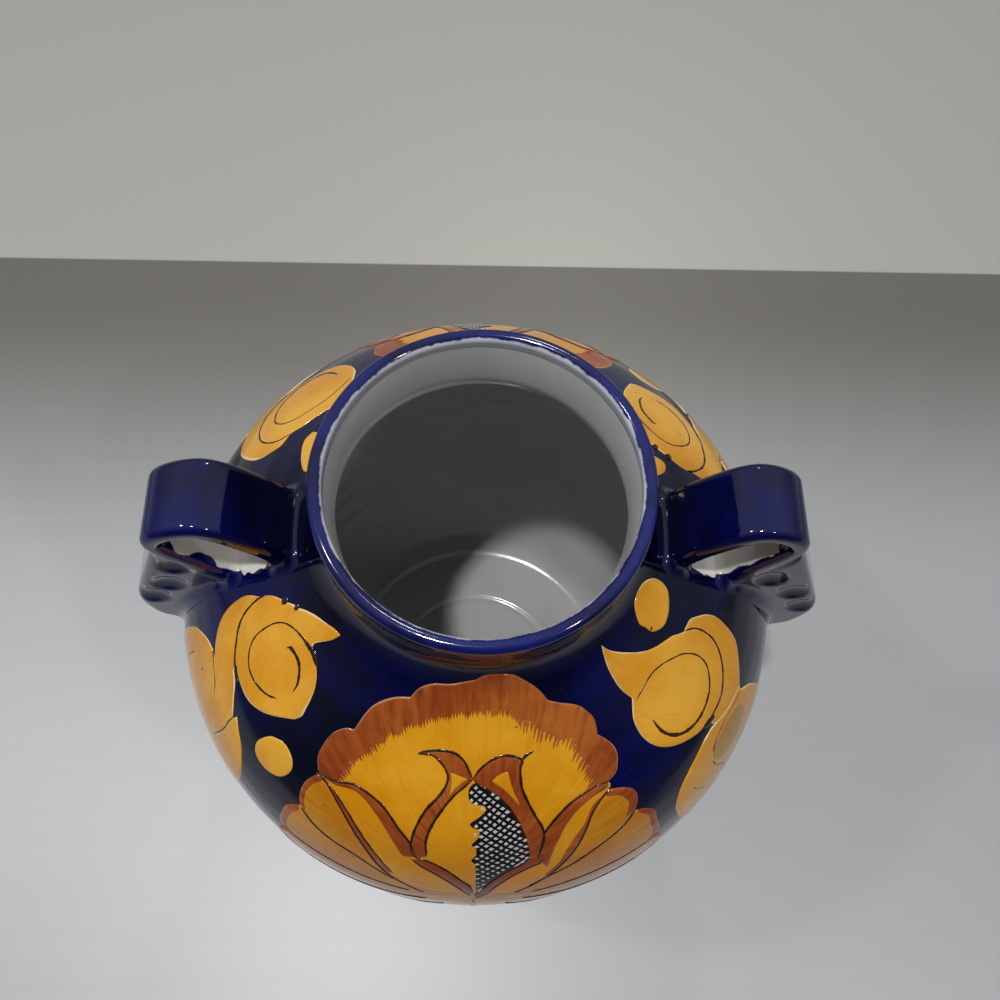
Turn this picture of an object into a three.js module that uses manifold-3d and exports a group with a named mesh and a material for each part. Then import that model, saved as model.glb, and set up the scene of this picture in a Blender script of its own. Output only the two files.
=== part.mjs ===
// Two-handled urn: a round-shouldered thrown pot with a wide mouth, a rolled rim, and a strap handle with a
// pressed tail on each side. Millimetres, +Z up, origin at the centre of the foot, handles along X.
import * as THREE from 'three';
import { mergeVertices } from 'three/addons/utils/BufferGeometryUtils.js';
import Module from 'manifold-3d';

// Body
const total_height = 319.5;
const belly_radius = 130;
const belly_height = 172.4;
const shoulder_close_drop = 39.9;    // from the rim's top down to where the shoulder curve would close
const shoulder_fullness = 2.35;      // exponent of the shoulder curve, 2 is an ellipse
const bowl_reach = 215;              // depth under the belly at which the bowl curve would close
const bowl_fullness = 2.2;
const body_wall = 7;

// Rings that the body is thrown in. The belly's ring ends at the belly, and the shoulder's starts there.
const heel_ring_top = 44;
const belly_ring_depth = 72.4;
const crown_ring_depth = 32;
const neck_base_depth = 33;

// Floor and foot
const floor_thickness = 7;
const floor_flat_radius = 75.5;
const floor_fillet_rise = 10;
const foot_height = 5;
const foot_radius = 84;
const foot_chamfer = 1.5;

// Neck and rim
const neck_radius = 55.5;
const neck_wall = 5.2;
const neck_straight = 20.5;          // from the rim's top down to where the neck starts to sweep out
const neck_seam_drop = 32.5;         // from the rim's top down to the seam between neck and shoulder
const sweep_end_radius = 100;        // where the sweep under the neck runs out into the shoulder curve
const sweep_pull_neck = 19;
const sweep_pull_shoulder = 38;
const rim_roll_width = 5.2;
const rim_roll_height = 8;
const rim_roll_foot_share = 0.7;    // width of the roll where it sits on the neck, as a share of its own
const rim_crest_radius = 54.4;
const throat_drop = 23;              // from the rim's top down to the narrowest part of the mouth

// Strap handles. The root and the end are drops from the rim's top, where the centre line meets the pot.
// The points between are measured out and up from the root.
const strap_width = 28.5;
const strap_edge = 3.2;
const strap_edge_share = 0.9;        // the edge rounds off no more than this share of half the thickness
const strap_root_half_thickness = 5.4;
const strap_top_half_thickness = 4.1;
const strap_end_half_thickness = 3.7;
const strap_root_drop = 48.5;
const strap_rise_out = 5;
const strap_rise_up = 13.5;
const strap_top_out = 22;
const strap_top_up = 29.2;
const strap_bend_out = 39.6;
const strap_bend_up = 16;
const strap_end_drop = 65.5;
const strap_sink = 8;                // how deep the centre line runs on into the pot, where it is cut away
const right_strap_less = 2.4;        // the right strap was pulled this much shorter than the left

// Tails: wedge under the strap's outer end. Stands are distances out from the pot's wall.
const tail_width = 28.5;
const tail_edge = 3.5;
const tail_corner = 9;
const tail_top_step = 2;             // the tail's top corner lies this far out from the strap's centre line
const tail_top_fall = 4;             // and this far under the strap's bend
const tail_flare_drop = 99.5;
const tail_flare_stand = 19.7;
const tail_bottom_drop = 121.5;
const tail_bottom_stand = 10.6;
const tail_root_drop = 128.5;
const right_tail_longer = 10;        // the right tail was drawn down this much further than the left
const right_tail_wider = 1.2;        // and stands out this much more
const dent_count = 3;
const dent_pitch = 21;
const first_dent_along = 20;         // along the tail's outer edge, from its top corner
const dent_from_edge = 8.5;          // from the tail's outer edge in to the middle of a finger dent
const dent_length = 17;
const dent_height = 15;
const dent_depth = 3;

// Slip and soft clay that lute the pieces together
const slip_seam = 0.3;
const pad_thickness = 2.5;
const pad_margin = 2.5;

// Fineness
const turn_steps = 64;
const neck_steps = 5;
const strap_steps = 22;
const edge_steps = 3;
const roll_steps = 8;

const wasm = await Module();
wasm.setup();

const neck_low = total_height - neck_straight;
const neck_seam = total_height - neck_seam_drop;
const lower_ring_top = belly_height - belly_ring_depth;
const crown_ring_top = neck_seam - neck_base_depth;
const shoulder_ring_top = crown_ring_top - crown_ring_depth;
const shoulder_reach = total_height - shoulder_close_drop - belly_height;
const throat_radius = neck_radius - neck_wall;
const rim_base = total_height - rim_roll_height;
const floor_top = foot_height + floor_thickness;

/** Radius of the body's main curve at a height, before the neck's sweep is laid over it. */
function bodyCurve(height) {
  const above = height > belly_height;
  const reach = above ? shoulder_reach : bowl_reach;
  const fullness = above ? shoulder_fullness : bowl_fullness;
  const share = Math.min(Math.abs(height - belly_height) / reach, 1);
  return belly_radius * (1 - share ** fullness) ** (1 / fullness);
}

/** Value in a range at which a rising or falling function passes through a target. */
function solve(low, high, target, evaluate) {
  const rising = evaluate(high) > evaluate(low);
  let [from, to] = [low, high];
  for (let step = 0; step < 40; step += 1) {
    const middle = (from + to) / 2;
    if ((evaluate(middle) < target) === rising) from = middle;
    else to = middle;
  }
  return (from + to) / 2;
}

/** Curve that sweeps from the straight neck out into the shoulder, level with the shoulder's own slope. */
function neckSweep() {
  const meet = solve(belly_height, belly_height + shoulder_reach, sweep_end_radius, bodyCurve);
  const slope = new THREE.Vector2(bodyCurve(meet) - bodyCurve(meet + 0.01), -0.01).normalize();
  return new THREE.CubicBezierCurve(
    new THREE.Vector2(neck_radius, neck_low),
    new THREE.Vector2(neck_radius, neck_low - sweep_pull_neck),
    new THREE.Vector2(sweep_end_radius, meet).addScaledVector(slope, -sweep_pull_shoulder),
    new THREE.Vector2(sweep_end_radius, meet),
  );
}

const sweep = neckSweep();

/** Outside radius of the pot at a height. */
function outerRadius(height) {
  if (height >= neck_low) return neck_radius;
  if (height > sweep.v3.y) return sweep.getPoint(solve(0, 1, height, (t) => sweep.getPoint(t).y)).x;
  return bodyCurve(height);
}

/** Point of the outside at a height, moved out along the surface's own normal by a distance. */
function outsidePoint(height, distance) {
  const step = 0.05;
  const along = new THREE.Vector2(outerRadius(height + step) - outerRadius(height - step), 2 * step).normalize();
  return new THREE.Vector2(outerRadius(height) + distance * along.y, height - distance * along.x);
}

/** Thickness of the wall behind a height of the outside: thin in the neck, full in the body. */
function wallAt(height) {
  const share = THREE.MathUtils.clamp((neck_low - height) / (neck_low - sweep.v3.y), 0, 1);
  return THREE.MathUtils.lerp(neck_wall, body_wall, share);
}

/** Inside radius of the body at a height. */
function innerRadius(height) {
  const inward = (at) => outsidePoint(at, -wallAt(at));
  const facing = solve(height - body_wall, height + body_wall, height, (at) => inward(at).y);
  return inward(facing).x;
}

/** Heights in even steps, both ends included. */
function evenSteps(from, to, count) {
  return Array.from({ length: count + 1 }, (_, i) => THREE.MathUtils.lerp(from, to, i / count));
}

// Heights of the outside's facets, which the pads and the cuts at the pot's wall share
const ring_heights = {
  heel_ring: evenSteps(foot_height, heel_ring_top, 4),
  lower_ring: evenSteps(heel_ring_top + slip_seam, lower_ring_top, 4),
  belly_ring: evenSteps(lower_ring_top + slip_seam, belly_height, 5),
  shoulder_ring: evenSteps(belly_height + slip_seam, shoulder_ring_top, 6),
  crown_ring: evenSteps(shoulder_ring_top + slip_seam, crown_ring_top, 4),
  neck_base: evenSteps(crown_ring_top + slip_seam, neck_seam, 5),
};
const neck_heights = evenSteps(neck_seam + slip_seam, neck_low, neck_steps);

/** Mesh data with shared vertices merged and no empty triangles. */
function welded(geometry) {
  const bare = geometry.clone();
  bare.deleteAttribute('normal');
  bare.deleteAttribute('uv');
  const merged = mergeVertices(bare, 1e-4);
  const corners = merged.index.array;
  const kept = [];
  for (let i = 0; i < corners.length; i += 3) {
    const [a, b, c] = [corners[i], corners[i + 1], corners[i + 2]];
    if (a !== b && b !== c && c !== a) kept.push(a, b, c);
  }
  merged.setIndex(kept);
  return merged;
}

/** Solid turned about Z from a closed outline of radius and height, outside going up and inside going down. */
function turned(outline) {
  return welded(new THREE.LatheGeometry(outline, turn_steps).rotateX(Math.PI / 2));
}

/** Outline that closes on its first point. */
function closed(points) {
  return [...points, points[0].clone()];
}

/** Solid of an outline in the X, Z plane, as thick as width along Y, with rounded edges. */
function slab(outline, width, edge, bevel_steps) {
  const geometry = new THREE.ExtrudeGeometry(new THREE.Shape(outline), {
    depth: width - 2 * edge,
    bevelEnabled: edge > 0,
    bevelSize: edge,
    bevelThickness: edge,
    bevelOffset: -edge,
    bevelSegments: bevel_steps,
    curveSegments: 8,
  });
  return geometry.rotateX(Math.PI / 2).translate(0, width / 2 - edge, 0);
}

/** Solid that can be joined and cut. */
function solid(geometry) {
  const merged = welded(geometry);
  return new wasm.Manifold(new wasm.Mesh({
    numProp: 3,
    vertProperties: new Float32Array(merged.attributes.position.array),
    triVerts: new Uint32Array(merged.index.array),
  }));
}

/** Geometry of a joined or cut solid. */
function geometryOf(manifold) {
  const mesh = manifold.getMesh();
  const geometry = new THREE.BufferGeometry();
  geometry.setAttribute('position', new THREE.BufferAttribute(new Float32Array(mesh.vertProperties), 3));
  geometry.setIndex(Array.from(mesh.triVerts));
  return geometry;
}

/** Full solid of the pot's outside, grown by a distance, for cutting what is luted on to it. */
function potGrownBy(distance) {
  const heights = [...Object.values(ring_heights).flat(), ...neck_heights, rim_base];
  const sides = heights.map((height) => outsidePoint(height, distance));
  const bottom = new THREE.Vector2(0, sides[0].y);
  const top = new THREE.Vector2(0, sides[sides.length - 1].y);
  return solid(turned([bottom, ...sides, top]));
}

/** Flat pad of bare clay that the urn stands on. */
function footPad() {
  const top = foot_height - slip_seam;
  return turned([
    new THREE.Vector2(0, 0),
    new THREE.Vector2(foot_radius - foot_chamfer, 0),
    new THREE.Vector2(foot_radius, foot_chamfer),
    new THREE.Vector2(foot_radius, top),
    new THREE.Vector2(0, top),
  ]);
}

/** Flat thrown floor, inside the heel's ring. */
function floorDisc() {
  return turned([
    new THREE.Vector2(0, foot_height),
    new THREE.Vector2(floor_flat_radius, foot_height),
    new THREE.Vector2(floor_flat_radius, floor_top),
    new THREE.Vector2(0, floor_top),
  ]);
}

/** Ring at the foot of the wall, rounded inside where the floor turns up. */
function heelRing() {
  const heights = ring_heights.heel_ring;
  const outside = heights.map((height) => new THREE.Vector2(outerRadius(height), height));
  const wall_start = floor_top + floor_fillet_rise;
  const inside = evenSteps(heel_ring_top, wall_start, 2).map((height) => new THREE.Vector2(innerRadius(height), height));
  const foot_of_wall = inside[inside.length - 1];
  const lean = innerRadius(wall_start + 1) - innerRadius(wall_start);
  const corner = new THREE.Vector2(foot_of_wall.x - lean * floor_fillet_rise, floor_top);
  const floor_edge = new THREE.Vector2(floor_flat_radius + slip_seam, floor_top);
  const fillet = new THREE.QuadraticBezierCurve(foot_of_wall, corner, floor_edge);
  const outline = [
    new THREE.Vector2(floor_edge.x, foot_height),
    ...outside,
    ...inside,
    ...fillet.getPoints(3).slice(1),
  ];
  return turned(closed(outline));
}

/** Ring of the wall between two seams. */
function wallRing(heights) {
  const outside = heights.map((height) => new THREE.Vector2(outerRadius(height), height));
  const inside = heights.map((height) => new THREE.Vector2(innerRadius(height), height)).reverse();
  return turned(closed([...outside, ...inside]));
}

/** Short neck, narrowest at the throat. */
function neckCollar() {
  const low = neck_heights[0];
  const top = rim_base - slip_seam;
  const outside = neck_heights.map((height) => new THREE.Vector2(outerRadius(height), height));
  const throat = total_height - throat_drop;
  const mouth_radius = rim_crest_radius - rim_roll_width / 2;
  const inside = new THREE.QuadraticBezierCurve(
    new THREE.Vector2(mouth_radius, top),
    new THREE.Vector2(throat_radius, (top + throat) / 2),
    new THREE.Vector2(throat_radius, throat),
  ).getPoints(3);
  return turned(closed([
    ...outside,
    new THREE.Vector2(neck_radius, top),
    ...inside,
    new THREE.Vector2(innerRadius(low), low),
  ]));
}

/** Rolled lip on top of the neck. */
function rimRoll() {
  const half = rim_roll_width / 2;
  const foot_half = half * rim_roll_foot_share;
  const crest = evenSteps(0, Math.PI, roll_steps).map((turn) => new THREE.Vector2(
    rim_crest_radius + half * Math.cos(turn),
    total_height - half + half * Math.sin(turn),
  ));
  return turned(closed([
    new THREE.Vector2(rim_crest_radius - foot_half, rim_base),
    new THREE.Vector2(rim_crest_radius + foot_half, rim_base),
    ...crest,
  ]));
}

/** Points of the strap's centre line in the plane of the handles. */
function strapLine(shorter) {
  const root_height = total_height - strap_root_drop;
  const root = outsidePoint(root_height, 0);
  const from_root = (out, up) => new THREE.Vector2(root.x + out, root.y + up);
  return {
    sunk_root: outsidePoint(root_height, -strap_sink),
    root,
    rise: from_root(strap_rise_out, strap_rise_up),
    top: from_root(strap_top_out, strap_top_up),
    bend: from_root(strap_bend_out - shorter, strap_bend_up),
    end: outsidePoint(total_height - strap_end_drop, 0),
  };
}

/** Outline of a strap's section, half as wide and half as thick as given, with rounded edges. */
function strapSection(half_width, half_thickness) {
  const edge = Math.min(strap_edge, half_thickness * strap_edge_share);
  const corners = [[1, 1, 0], [-1, 1, 1], [-1, -1, 2], [1, -1, 3]];
  return corners.flatMap(([across, up, quarter]) => evenSteps(0, 1, edge_steps).map((share) => {
    const turn = (quarter + share) * (Math.PI / 2);
    return new THREE.Vector2(
      across * (half_width - edge) + edge * Math.cos(turn),
      up * (half_thickness - edge) + edge * Math.sin(turn),
    );
  }));
}

/** Strap swept along its centre line, thick at the root and thinner at the end, grown by a distance all round. */
function sweptStrap(growth, shorter) {
  const { sunk_root, rise, top, bend, end } = strapLine(shorter);
  const line = new THREE.SplineCurve([sunk_root, rise, top, bend, end]);
  const { lerp } = THREE.MathUtils;
  const positions = [];
  for (const share of evenSteps(0, 1, strap_steps)) {
    const point = line.getPoint(share);
    const along = line.getTangent(share);
    const half = growth + (share < 0.5
      ? lerp(strap_root_half_thickness, strap_top_half_thickness, share * 2)
      : lerp(strap_top_half_thickness, strap_end_half_thickness, share * 2 - 1));
    for (const { x: across, y: up } of strapSection(strap_width / 2 + growth, half)) {
      positions.push(point.x - along.y * up, across, point.y + along.x * up);
    }
  }
  const around = positions.length / 3 / (strap_steps + 1);
  const index = [];
  for (let ring = 0; ring < strap_steps; ring += 1) {
    for (let i = 0; i < around; i += 1) {
      const [a, b] = [ring * around + i, ring * around + ((i + 1) % around)];
      index.push(a, b, a + around, b, b + around, a + around);
    }
  }
  const last = strap_steps * around;
  for (let i = 1; i < around - 1; i += 1) {
    index.push(0, i + 1, i, last, last + i, last + i + 1);
  }
  const geometry = new THREE.BufferGeometry();
  geometry.setAttribute('position', new THREE.Float32BufferAttribute(positions, 3));
  geometry.setIndex(index);
  return geometry;
}

/** Corners of the tail's side. The root and the strap's end lie in the pot, and are cut away there. */
function tailCorners(shorter, longer, wider) {
  const { bend, end } = strapLine(shorter);
  const on_wall = (drop, stand) => {
    const height = total_height - drop - longer;
    return new THREE.Vector2(outerRadius(height) + stand, height);
  };
  return {
    top: new THREE.Vector2(bend.x + tail_top_step + shorter, bend.y - tail_top_fall),
    flare: on_wall(tail_flare_drop, tail_flare_stand + wider),
    bottom: on_wall(tail_bottom_drop, tail_bottom_stand + wider),
    root: on_wall(tail_root_drop, -strap_sink),
    end,
  };
}

/** Outline of the tail's side, round at its two outer corners. */
function tailOutline({ top, flare, bottom, root, end }) {
  const shape = new THREE.Shape();
  const towards = (from, to) => from.clone().lerp(to, tail_corner / from.distanceTo(to));
  const rounded = (corner, before, after) => {
    const [start, finish] = [towards(corner, before), towards(corner, after)];
    shape.lineTo(start.x, start.y);
    shape.quadraticCurveTo(corner.x, corner.y, finish.x, finish.y);
  };
  shape.moveTo(top.x, top.y);
  rounded(flare, top, bottom);
  rounded(bottom, flare, root);
  shape.lineTo(root.x, root.y);
  shape.lineTo(end.x, end.y);
  return shape.getPoints(4);
}

/** Round hollow that a finger leaves in the tail's side, at a distance along its outer edge. */
function dent({ top, flare }, along, face) {
  const middle = top.clone().lerp(flare, along / top.distanceTo(flare));
  const geometry = new THREE.SphereGeometry(1, 14, 10);
  geometry.scale(dent_length / 2, dent_depth, dent_height / 2);
  return geometry.translate(middle.x - dent_from_edge, face * tail_width / 2, middle.y);
}

/** Block that a pad of clay is cut from: a span out from the pot's axis, a span of height, and rounded sides. */
function padBlock([near, far], [low, high]) {
  const outline = [[near, low], [far, low], [far, high], [near, high]].map(([x, z]) => new THREE.Vector2(x, z));
  return solid(slab(outline, strap_width + 2 * pad_margin, pad_margin, 1));
}

const cobalt = new THREE.MeshStandardMaterial({ color: 0x0d1240, roughness: 0.12, metalness: 0 });
const rim_blue = new THREE.MeshStandardMaterial({ color: 0x1d2378, roughness: 0.15, metalness: 0 });
const bare_clay = new THREE.MeshStandardMaterial({ color: 0xb5714a, roughness: 0.9, metalness: 0 });

/** One handle at +X: strap, tail and the two pads that lute them to the shoulder. */
function handle(side, shorter, longer, wider) {
  const group = new THREE.Group();
  const pad_reach = slip_seam + pad_thickness;
  const seat = potGrownBy(pad_reach + slip_seam);
  const pad_shell = potGrownBy(pad_reach).subtract(potGrownBy(slip_seam));
  const strap = solid(sweptStrap(0, shorter)).subtract(seat);
  const corners = tailCorners(shorter, longer, wider);
  let tail = solid(slab(tailOutline(corners), tail_width, tail_edge, 2))
    .subtract(seat)
    .subtract(solid(sweptStrap(slip_seam, shorter)));
  for (let i = 0; i < dent_count; i += 1) {
    for (const face of [-1, 1]) tail = tail.subtract(solid(dent(corners, first_dent_along + i * dent_pitch, face)));
  }
  const { root, end } = strapLine(shorter);
  const root_reach = strap_root_half_thickness + 2 * pad_margin;
  const root_pad = padBlock([root.x - root_reach, root.x + root_reach], [belly_height, total_height])
    .intersect(pad_shell);
  const seat_pad = padBlock(
    [root.x + root_reach + slip_seam, corners.flare.x + pad_margin],
    [corners.root.y - pad_margin, end.y + strap_end_half_thickness + pad_margin],
  ).intersect(pad_shell);
  for (const [name, piece] of Object.entries({ strap, tail, root_pad, seat_pad })) {
    const mesh = new THREE.Mesh(geometryOf(piece), cobalt);
    mesh.name = `${side}_${name}`;
    group.add(mesh);
  }
  return group;
}

/** Named piece of the body. */
function named(name, geometry, material) {
  const mesh = new THREE.Mesh(geometry, material);
  mesh.name = name;
  return mesh;
}

const urn = new THREE.Group();
urn.add(
  named('foot_pad', footPad(), bare_clay),
  named('floor_disc', floorDisc(), cobalt),
  named('heel_ring', heelRing(), cobalt),
  named('lower_ring', wallRing(ring_heights.lower_ring), cobalt),
  named('belly_ring', wallRing(ring_heights.belly_ring), cobalt),
  named('shoulder_ring', wallRing(ring_heights.shoulder_ring), cobalt),
  named('crown_ring', wallRing(ring_heights.crown_ring), cobalt),
  named('neck_base', wallRing(ring_heights.neck_base), cobalt),
  named('neck_collar', neckCollar(), cobalt),
  named('rim_roll', rimRoll(), rim_blue),
);
const left = handle('left', 0, 0, 0);
left.rotation.z = Math.PI;
urn.add(left, handle('right', right_strap_less, right_tail_longer, right_tail_wider));

export default urn;
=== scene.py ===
"""Two-handled clay urn: a thrown pot under dark cobalt glaze, painted with amber flowers and scrolls.

Lengths in the classes are millimetres. A place on the pot's outside is given as an angle in degrees,
from the front towards the right handle, and a run in millimetres down the profile from just under the rim.
"""

from __future__ import annotations

import logging
import math
from collections.abc import Callable, Sequence
from dataclasses import dataclass
from enum import Enum

import bpy
import numpy as np
from mathutils import Matrix, Vector
from mathutils.geometry import delaunay_2d_cdt


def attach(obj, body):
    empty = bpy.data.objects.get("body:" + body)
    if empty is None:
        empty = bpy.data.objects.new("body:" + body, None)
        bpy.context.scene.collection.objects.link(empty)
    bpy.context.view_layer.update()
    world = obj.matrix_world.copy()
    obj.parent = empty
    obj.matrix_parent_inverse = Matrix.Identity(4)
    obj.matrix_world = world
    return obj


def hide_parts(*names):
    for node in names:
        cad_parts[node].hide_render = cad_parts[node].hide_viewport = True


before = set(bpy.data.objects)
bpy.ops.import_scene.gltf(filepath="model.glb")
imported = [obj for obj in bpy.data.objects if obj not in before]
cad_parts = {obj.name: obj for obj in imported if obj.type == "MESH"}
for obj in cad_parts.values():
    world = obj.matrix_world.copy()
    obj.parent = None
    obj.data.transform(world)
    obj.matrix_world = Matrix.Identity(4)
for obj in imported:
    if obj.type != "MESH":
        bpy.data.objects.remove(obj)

MM = 0.001
BODY = "root"
DEGREE = math.radians(1) * 100.0    # millimetres to a degree in the flat drawing of a motif
ALL_INSIDE = 20.0                   # depth given to points whose paint has no paler rim
log = logging.getLogger("urn")
Array = np.ndarray
Material = bpy.types.Material
Socket = bpy.types.NodeSocket
Span = tuple[float, float]
Points = Sequence[Span]
Colour = tuple[float, float, float]


class Slot(Enum):
    """Material slots."""

    COBALT = "cobalt_glaze"
    RIM = "rim_glaze"
    WHITE = "white_glaze"
    AMBER = "amber_glaze"
    RUST = "rust_glaze"
    LINE = "line_glaze"
    CLAY = "bare_clay"


class Number:
    """A number socket, with operators that add Math nodes to its tree."""

    def __init__(self, paint: Paint, socket: Socket) -> None:
        """Keeps the tree and the socket."""
        self.paint = paint
        self.socket = socket

    def _math(self, operation: str, *values: float | Number) -> Number:
        """Adds one Math node.

        Args:
            operation: the node's operation.
            values: its inputs in order.

        Returns:
            The node's result.
        """
        node = self.paint.node("ShaderNodeMath", {"operation": operation}, dict(enumerate(values)))
        return Number(self.paint, node.outputs[0])

    def __add__(self, other: float | Number) -> Number:
        """This number plus another."""
        return self._math("ADD", self, other)

    __radd__ = __add__

    def __sub__(self, other: float | Number) -> Number:
        """This number less another."""
        return self._math("SUBTRACT", self, other)

    def __rsub__(self, other: float | Number) -> Number:
        """Another number less this one."""
        return self._math("SUBTRACT", other, self)

    def __mul__(self, other: float | Number) -> Number:
        """This number times another."""
        return self._math("MULTIPLY", self, other)

    __rmul__ = __mul__

    def climb(self, low: float, high: float) -> Number:
        """Share from 0 to 1 that this number has climbed from low to high, smoothly at both ends.

        Args:
            low: where the share is 0.
            high: where it is 1.

        Returns:
            The share.
        """
        sockets = {"Value": self, "From Min": low, "From Max": high}
        node = self.paint.node("ShaderNodeMapRange", {"interpolation_type": "SMOOTHSTEP"}, sockets)
        return Number(self.paint, node.outputs["Result"])


Feed = float | Colour | Number | Socket


class Paint:
    """Node tree of one material, round its Principled shader."""

    def __init__(self, name: str) -> None:
        """Makes the material and finds its shader."""
        self.material = bpy.data.materials.new(name)
        self.material.use_nodes = True
        self.tree = self.material.node_tree
        self.shader = self.tree.nodes["Principled BSDF"]
        self.place = self.node("ShaderNodeTexCoord").outputs["Object"]

    def feed(self, socket: Socket, value: Feed) -> None:
        """Links a socket to a value's socket, or sets it.

        Args:
            socket: the socket to feed.
            value: a number, a colour, a vector or a socket.
        """
        if isinstance(value, Number):
            value = value.socket
        if isinstance(value, Socket):
            self.tree.links.new(value, socket)
        elif socket.type == "RGBA":
            socket.default_value = (*value, 1.0)
        else:
            socket.default_value = value

    def node(self, kind: str, settings: dict | None = None, sockets: dict | None = None) -> bpy.types.Node:
        """Adds any node.

        Args:
            kind: the node's type.
            settings: its properties.
            sockets: its inputs by name or number.

        Returns:
            The node.
        """
        node = self.tree.nodes.new(kind)
        for name, value in (settings or {}).items():
            setattr(node, name, value)
        for name, value in (sockets or {}).items():
            self.feed(node.inputs[name], value)
        return node

    def stretched(self, scale: tuple[float, float, float]) -> Socket:
        """Place on the object, scaled along X, Y and Z."""
        sockets = {0: self.place, 1: scale}
        return self.node("ShaderNodeVectorMath", {"operation": "MULTIPLY"}, sockets).outputs[0]

    def mask(self, name: str) -> Number:
        """Number that the mesh keeps for each of its points."""
        return Number(self, self.node("ShaderNodeAttribute", {"attribute_name": name}).outputs["Fac"])

    def noise(self, scale: float, detail: float, rough: float, at: Socket | None = None) -> Number:
        """Cloudy noise.

        Args:
            scale: cells a metre.
            detail: how many finer layers it has.
            rough: strength of the finer layers.
            at: the place it is read at, or the place on the object.

        Returns:
            The noise, about 0.5 in the middle.
        """
        sockets = {"Vector": at or self.place, "Scale": scale, "Detail": detail, "Roughness": rough}
        return Number(self, self.node("ShaderNodeTexNoise", None, sockets).outputs[0])

    def specks(self, scale: float, size: float) -> Number:
        """Round specks.

        Args:
            scale: cells a metre.
            size: radius of a speck as a share of its cell.

        Returns:
            1 inside a speck, 0 outside.
        """
        node = self.node("ShaderNodeTexVoronoi", None, {"Vector": self.place, "Scale": scale})
        return 1.0 - Number(self, node.outputs["Distance"]).climb(size * 0.6, size)

    def blend(self, share: Feed, first: Feed, second: Feed) -> Socket:
        """Colour between two.

        Args:
            share: 0 for the first, 1 for the second.
            first: a colour.
            second: a colour.

        Returns:
            The mixed colour.
        """
        return self.node("ShaderNodeMix", {"data_type": "RGBA"}, {0: share, 6: first, 7: second}).outputs[2]

    def bump(self, height: Number, depth: float) -> Socket:
        """Normal of a bumpy surface.

        Args:
            height: height from 0 to 1.
            depth: metres from the lowest to the highest.

        Returns:
            The normal.
        """
        sockets = {"Height": height, "Distance": depth, "Strength": 1.0}
        return self.node("ShaderNodeBump", None, sockets).outputs[0]

    def finish(self, **sockets: Feed) -> Material:
        """Feeds the shader.

        Args:
            sockets: its inputs by name, with an underscore for each space.

        Returns:
            The material.
        """
        for name, value in sockets.items():
            self.feed(self.shader.inputs[name.replace("_", " ")], value)
        return self.material


@dataclass(frozen=True)
class CobaltGlaze:
    """Dark cobalt glaze, nearly black where it is thick and blue where the brush left it thin."""

    name: str
    thick: Colour = (0.0012, 0.0016, 0.0100)
    thin: Colour = (0.0016, 0.0028, 0.070)
    thin_share: float = 0.57            # noise above which the glaze is thin
    shows_white: bool = False           # whether bare white glaze shows by the mesh's white mask
    pit: Colour = (0.0006, 0.0006, 0.002)
    white: Colour = (0.60, 0.57, 0.51)

    def build(self) -> Material:
        """Makes the material."""
        paint = Paint(self.name)
        cloud = paint.noise(13.0, 4.0, 0.55)
        brushed = paint.noise(30.0, 3.0, 0.6, paint.stretched((1.0, 1.0, 5.0)))
        mix = cloud * 0.72 + brushed * 0.28
        colour = paint.blend(mix.climb(self.thin_share - 0.13, self.thin_share + 0.13), self.thick, self.thin)
        pits = paint.specks(120.0, 0.055)
        colour = paint.blend(pits, colour, self.pit)
        skin = paint.noise(150.0, 2.0, 0.5)
        rough = 0.045 + 0.04 * paint.noise(60.0, 4.0, 0.6) + pits * 0.25
        if self.shows_white:
            mask = paint.mask("white")
            edge = (mask + (paint.noise(110.0, 3.0, 0.5) - 0.5) * 4.0).climb(-0.3, 0.3)
            colour = paint.blend(edge, colour, self.white)
        normal = paint.bump(skin * 0.5 + brushed * 0.5 - pits * 0.6, 0.00010)
        return paint.finish(Base_Color=colour, Roughness=rough, Normal=normal, IOR=1.5)


@dataclass(frozen=True)
class RimGlaze:
    """Brighter cobalt, brushed round the rim in one pass, ragged on the inside where white glaze shows."""

    name: str = "rim cobalt"
    blue: Colour = (0.006, 0.010, 0.105)
    dark: Colour = (0.002, 0.003, 0.035)
    white: Colour = (0.50, 0.51, 0.56)
    white_inside: float = 52.45         # radius inside which the white shows, on average, in millimetres

    def build(self) -> Material:
        """Makes the material."""
        paint = Paint(self.name)
        level = paint.stretched((1.0, 1.0, 0.0))
        length = paint.node("ShaderNodeVectorMath", {"operation": "LENGTH"}, {0: level})
        radius = Number(paint, length.outputs[1])
        streaks = paint.noise(48.0, 4.0, 0.6)
        colour = paint.blend(streaks.climb(0.35, 0.68), self.dark, self.blue)
        ragged = radius * 1000.0 + (paint.noise(120.0, 5.0, 0.75) - 0.5) * 2.2
        ragged = ragged + (paint.noise(17.0, 2.0, 0.5) - 0.5) * 2.4
        shows = 1.0 - ragged.climb(self.white_inside - 0.25, self.white_inside + 0.3)
        colour = paint.blend(shows, colour, self.white)
        rough = 0.07 + 0.06 * paint.noise(90.0, 3.0, 0.5)
        normal = paint.bump(paint.noise(180.0, 2.0, 0.5) * 0.4 + streaks * 0.5, 0.00016)
        return paint.finish(Base_Color=colour, Roughness=rough, Normal=normal, IOR=1.52)


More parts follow.
